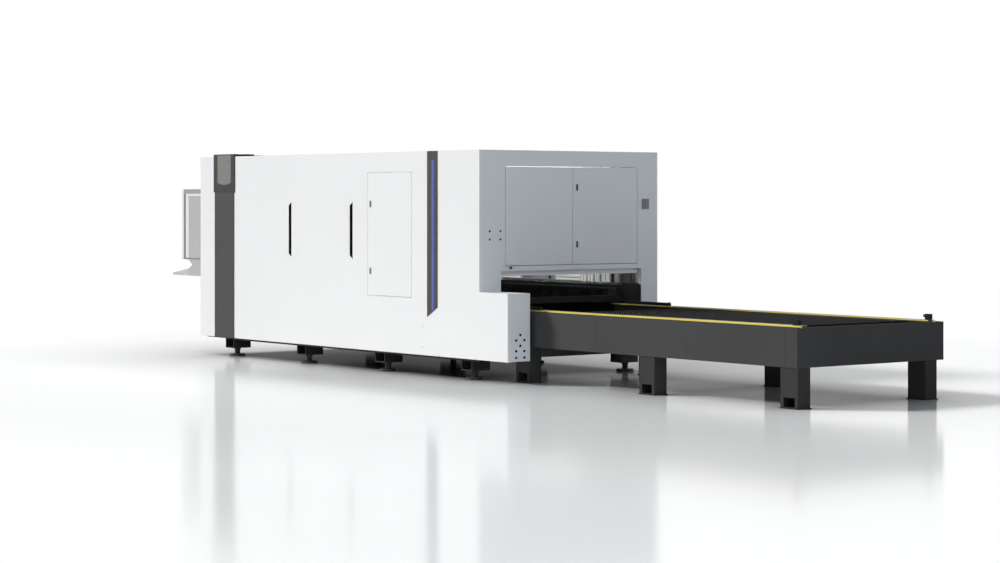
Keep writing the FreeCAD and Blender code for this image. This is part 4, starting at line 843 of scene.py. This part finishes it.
def wall_lining(mesh):
    """Dark lining sheets at the end of the far wall, with a standing seam."""
    upright(mesh, [(0.460, 0), (0.460, 8), (0.600, 8), (0.602, 16), (0.606, 16), (0.608, 8), (0.745, 8),
                   (0.745, 0)])


def wall_trunking(mesh):
    """Three long pale trunkings one above the other along the far wall, in two runs."""
    for low, high, out in ((0.897, 0.925, 34), (0.931, 0.962, 38), (0.967, 1.010, 32)):
        face = FAR_LINE - out * MM
        for start, end in ((-1.640, -1.215), (-0.600, -0.190)):
            add_prism(mesh, [(FAR_LINE, low), (face + 6 * MM, low), (face, low + 5 * MM),
                             (face, high - 5 * MM), (face + 6 * MM, high), (FAR_LINE, high)],
                      "x", start, end)


def valve_plate(mesh):
    """The grey mounting plate of the air valves."""
    add_box(mesh, (-1.205, FAR_LINE - 14 * MM, 0.897), (-0.610, FAR_LINE - 1 * MM, 1.060))


def valve_block(mesh):
    """A bank of air valves on the plate, with its fittings, and a regulator bowl beside it."""
    middle = FAR_LINE - 28 * MM
    add_box(mesh, (-1.165, FAR_LINE - 38 * MM, 0.955), (-1.030, FAR_LINE - 15 * MM, 1.030))
    for index in range(VALVE_COUNT):
        left = -1.160 + index * VALVE_PITCH
        add_box(mesh, (left, FAR_LINE - 46 * MM, 0.948), (left + 34 * MM, FAR_LINE - 34 * MM, 1.000))
        add_turned(mesh, (left + 17 * MM, middle, 1.031), (0, 0, 1),
                   [(0, 9 * MM), (10 * MM, 9 * MM), (11 * MM, 7 * MM), (26 * MM, 7 * MM)], 14)
    add_turned(mesh, (-0.715, middle, 0.905), (0, 0, 1),
               [(0, 8 * MM), (6 * MM, 12 * MM), (26 * MM, 13 * MM), (28 * MM, 9 * MM),
                (44 * MM, 9 * MM)], 20)


piece("wall_ducts", "machine", DUCT, wall_ducts)
piece("wall_gaps", "machine", SHADED_DEEP_BLACK, wall_gaps)
piece("duct_cover", "machine", PLATE, duct_cover)
piece("wall_lining", "machine", BAND, wall_lining)
piece("wall_trunking", "machine", DUCT, wall_trunking)
piece("valve_plate", "machine", PLATE, valve_plate, 1.5 * MM)
piece("valve_block", "machine", LATCH, valve_block, 1.0 * MM)


# ---------------------------------------------------------------- cutting head

HEAD_LOW, HEAD_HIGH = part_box("cutting_head")
HEAD_MIDDLE = (HEAD_LOW.x + HEAD_HIGH.x) / 2
COLLAR_RIBS, RIB_PITCH = 6, 9 * MM


def nozzle(mesh):
    """The copper nozzle with its ring, over the head's turned cone."""
    add_turned(mesh, (HEAD_MIDDLE, LANE_Y, HEAD_LOW.z + 0.3 * MM), (0, 0, 1),
               [(0, 4.6 * MM), (14 * MM, 10.8 * MM), (15 * MM, 17 * MM), (24 * MM, 17 * MM),
                (25 * MM, 15 * MM)], 40)


def ceramic_ring(mesh):
    """The ceramic cone between the nozzle and the head."""
    add_turned(mesh, (HEAD_MIDDLE, LANE_Y, HEAD_LOW.z + 26 * MM), (0, 0, 1),
               [(0, 17.5 * MM), (2 * MM, 19.5 * MM), (22 * MM, 24 * MM), (23.5 * MM, 24 * MM)], 40)


def head_rings(mesh):
    """The ribbed focus collar, and screws on the head's face towards the table."""
    profile = [(0, 34 * MM)]
    for rib in range(COLLAR_RIBS):
        base = 4 * MM + rib * RIB_PITCH
        profile += [(base, 34.6 * MM), (base + 1 * MM, 36.5 * MM), (base + 5 * MM, 36.5 * MM),
                    (base + 6 * MM, 34.6 * MM)]
    profile.append((62 * MM, 34 * MM))
    add_turned(mesh, (HEAD_MIDDLE, LANE_Y, HEAD_LOW.z + 54 * MM), (0, 0, 1), profile, 40)
    for across in (-42, 42):
        for height in (150, 260, 400):
            place = (HEAD_HIGH.x, LANE_Y + across * MM, HEAD_LOW.z + height * MM)
            socket_screw(mesh, place, (1, 0, 0), 6 * MM, 4 * MM)


piece("nozzle_copper", "head", COPPER, nozzle)
piece("nozzle_ceramic", "head", CERAMIC, ceramic_ring)
piece("head_rings", "head", SCREW, head_rings)


# ---------------------------------------------------------------- camera, floor and light

CAMERA_PLACE = (18.9686, -14.7041, 1.75)
CAMERA_TURN = 52.505
FOCAL_LENGTH = 84.62
FRAME_SHIFT = -0.0815

lens = bpy.data.cameras.new("Camera")
lens.lens = FOCAL_LENGTH
lens.sensor_width = 36.0
lens.shift_y = FRAME_SHIFT
lens.clip_end = 400.0
camera = bpy.data.objects.new("Camera", lens)
camera.location = CAMERA_PLACE
camera.rotation_euler = (math.radians(90), 0, math.radians(CAMERA_TURN))
bpy.context.scene.collection.objects.link(camera)
bpy.context.scene.camera = camera

# Floor: half its width, the tone of its matt part, the share of its mirror, the tone deep in a contact
# shadow and how far such a shadow reaches
FLOOR_HALF = 90.0
FLOOR_PALE = 1.34
FLOOR_MIRROR = 0.42
CONTACT_TONE = 0.18
CONTACT_REACH = 2.5

# Distances from the frame's origin over which the floor turns paler, and over which it fades into white
PALE_FADE = (6.5, 9.0)
WHITE_FADE = (13.0, 28.0)


def floor_material():
    """Pale polished floor: a soft mirror of one strength at all angles, white in the distance."""
    material, tree, shader = new_material("studio_floor")
    tree.nodes.remove(shader)
    output = tree.nodes["Material Output"]
    path = tree.nodes.new("ShaderNodeLightPath")
    coordinates = tree.nodes.new("ShaderNodeTexCoord")
    place = split(tree, coordinates.outputs["Object"])
    square = calculate(tree, "ADD", calculate(tree, "POWER", place["X"], 2),
                       calculate(tree, "POWER", place["Y"], 2))
    distance = calculate(tree, "SQRT", square)

    matt = tree.nodes.new("ShaderNodeBsdfDiffuse")
    slow = between(tree, noise(tree, 0.15), 0.0, 1.0)
    tree.links.new(tint(tree, slow, (0.90, 0.90, 0.905), (0.92, 0.92, 0.92)), matt.inputs["Color"])

    # Painted shade: occlusion darkens the floor's colour and its mirror near and under the machine, down to
    # CONTACT_TONE.
    occlusion = tree.nodes.new("ShaderNodeAmbientOcclusion")
    occlusion.samples = 8
    occlusion.inputs["Distance"].default_value = CONTACT_REACH
    contact = between(tree, calculate(tree, "POWER", occlusion.outputs["AO"], 1.25), CONTACT_TONE, 1.0,
                      0.0, 1.0)
    seen = tree.nodes.new("ShaderNodeBsdfDiffuse")
    pale = between(tree, distance, FLOOR_PALE, FLOOR_PALE * 1.08, *PALE_FADE)
    tree.links.new(grey(tree, calculate(tree, "MULTIPLY", pale, contact)), seen.inputs["Color"])
    mirror = tree.nodes.new("ShaderNodeBsdfAnisotropic")
    tree.links.new(grey(tree, contact), mirror.inputs["Color"])
    tree.links.new(between(tree, noise(tree, 0.4), 0.11, 0.13), mirror.inputs["Roughness"])
    polished = mix_shaders(tree, FLOOR_MIRROR, seen.outputs[0], mirror.outputs[0])

    white = tree.nodes.new("ShaderNodeEmission")
    far = tree.nodes.new("ShaderNodeMapRange")
    far.interpolation_type = "SMOOTHSTEP"
    far.inputs["From Min"].default_value, far.inputs["From Max"].default_value = WHITE_FADE
    tree.links.new(distance, far.inputs["Value"])
    faded = mix_shaders(tree, far.outputs["Result"], polished, white.outputs[0])
    shown = mix_shaders(tree, path.outputs["Is Camera Ray"], matt.outputs[0], faded)
    tree.links.new(shown, output.inputs["Surface"])
    return material


def floor():
    """The studio's floor, a plane far wider than the picture."""
    data = bpy.data.meshes.new("studio_floor")
    half = FLOOR_HALF
    data.from_pydata([(-half, -half, 0), (half, -half, 0), (half, half, 0), (-half, half, 0)], [],
                     [(0, 1, 2, 3)])
    data.materials.append(floor_material())
    ground = bpy.data.objects.new("studio_floor", data)
    bpy.context.scene.collection.objects.link(ground)


floor()


def background(tree, color, strength):
    """A plain tone of the world."""
    node = tree.nodes.new("ShaderNodeBackground")
    node.inputs["Color"].default_value = (*color, 1)
    node.inputs["Strength"].default_value = strength
    return node.outputs[0]


def world_light(level, tone):
    """White where the camera, a mirror or glass sees it, and a plain soft level for everything else."""
    world = bpy.data.worlds.new("Studio")
    bpy.context.scene.world = world
    world.use_nodes = True
    tree = world.node_tree
    tree.nodes.clear()
    output = tree.nodes.new("ShaderNodeOutputWorld")
    path = tree.nodes.new("ShaderNodeLightPath")
    mirrored = calculate(tree, "MAXIMUM", path.outputs["Is Camera Ray"], path.outputs["Is Glossy Ray"])
    clear = calculate(tree, "MAXIMUM", mirrored, path.outputs["Is Transmission Ray"])
    shown = mix_shaders(tree, clear, background(tree, tone, level), background(tree, (1, 1, 1), 1.0))
    tree.links.new(shown, output.inputs["Surface"])


world_light(0.155, (0.95, 0.98, 1.0))


def hang(name, data, towards, place=(0, 0, 0)):
    """Puts a lamp into the scene, looking towards a direction."""
    lamp = bpy.data.objects.new(name, data)
    lamp.location = place
    lamp.rotation_euler = Vector(towards).to_track_quat("-Z", "Y").to_euler()
    bpy.context.scene.collection.objects.link(lamp)


def sun(name, strength, towards, softness, tone):
    """A far lamp whose shadows are as soft as its angle in degrees."""
    data = bpy.data.lights.new(name, "SUN")
    data.energy = strength
    data.angle = math.radians(softness)
    data.color = tone
    hang(name, data, towards)


def work_light(name, place, towards, size, power):
    """A long lamp under the cabin's roof, as such machines have over the bed."""
    data = bpy.data.lights.new(name, "AREA")
    data.shape = "RECTANGLE"
    data.size, data.size_y = size
    data.energy = power
    hang(name, data, towards, place)


sun("Key", 2.85, (0.60, 0.58, -0.54), 14, (1, 1, 1))
sun("Fill", 0.62, (-0.90, 0.30, -0.28), 50, (0.88, 0.94, 1.0))
work_light("Work_light", (WALL_X - 2.0, LANE_Y, 2.05), (0, 0.85, -0.5), (3.2, 0.3), 34)

bpy.context.scene.view_settings.view_transform = "Standard"
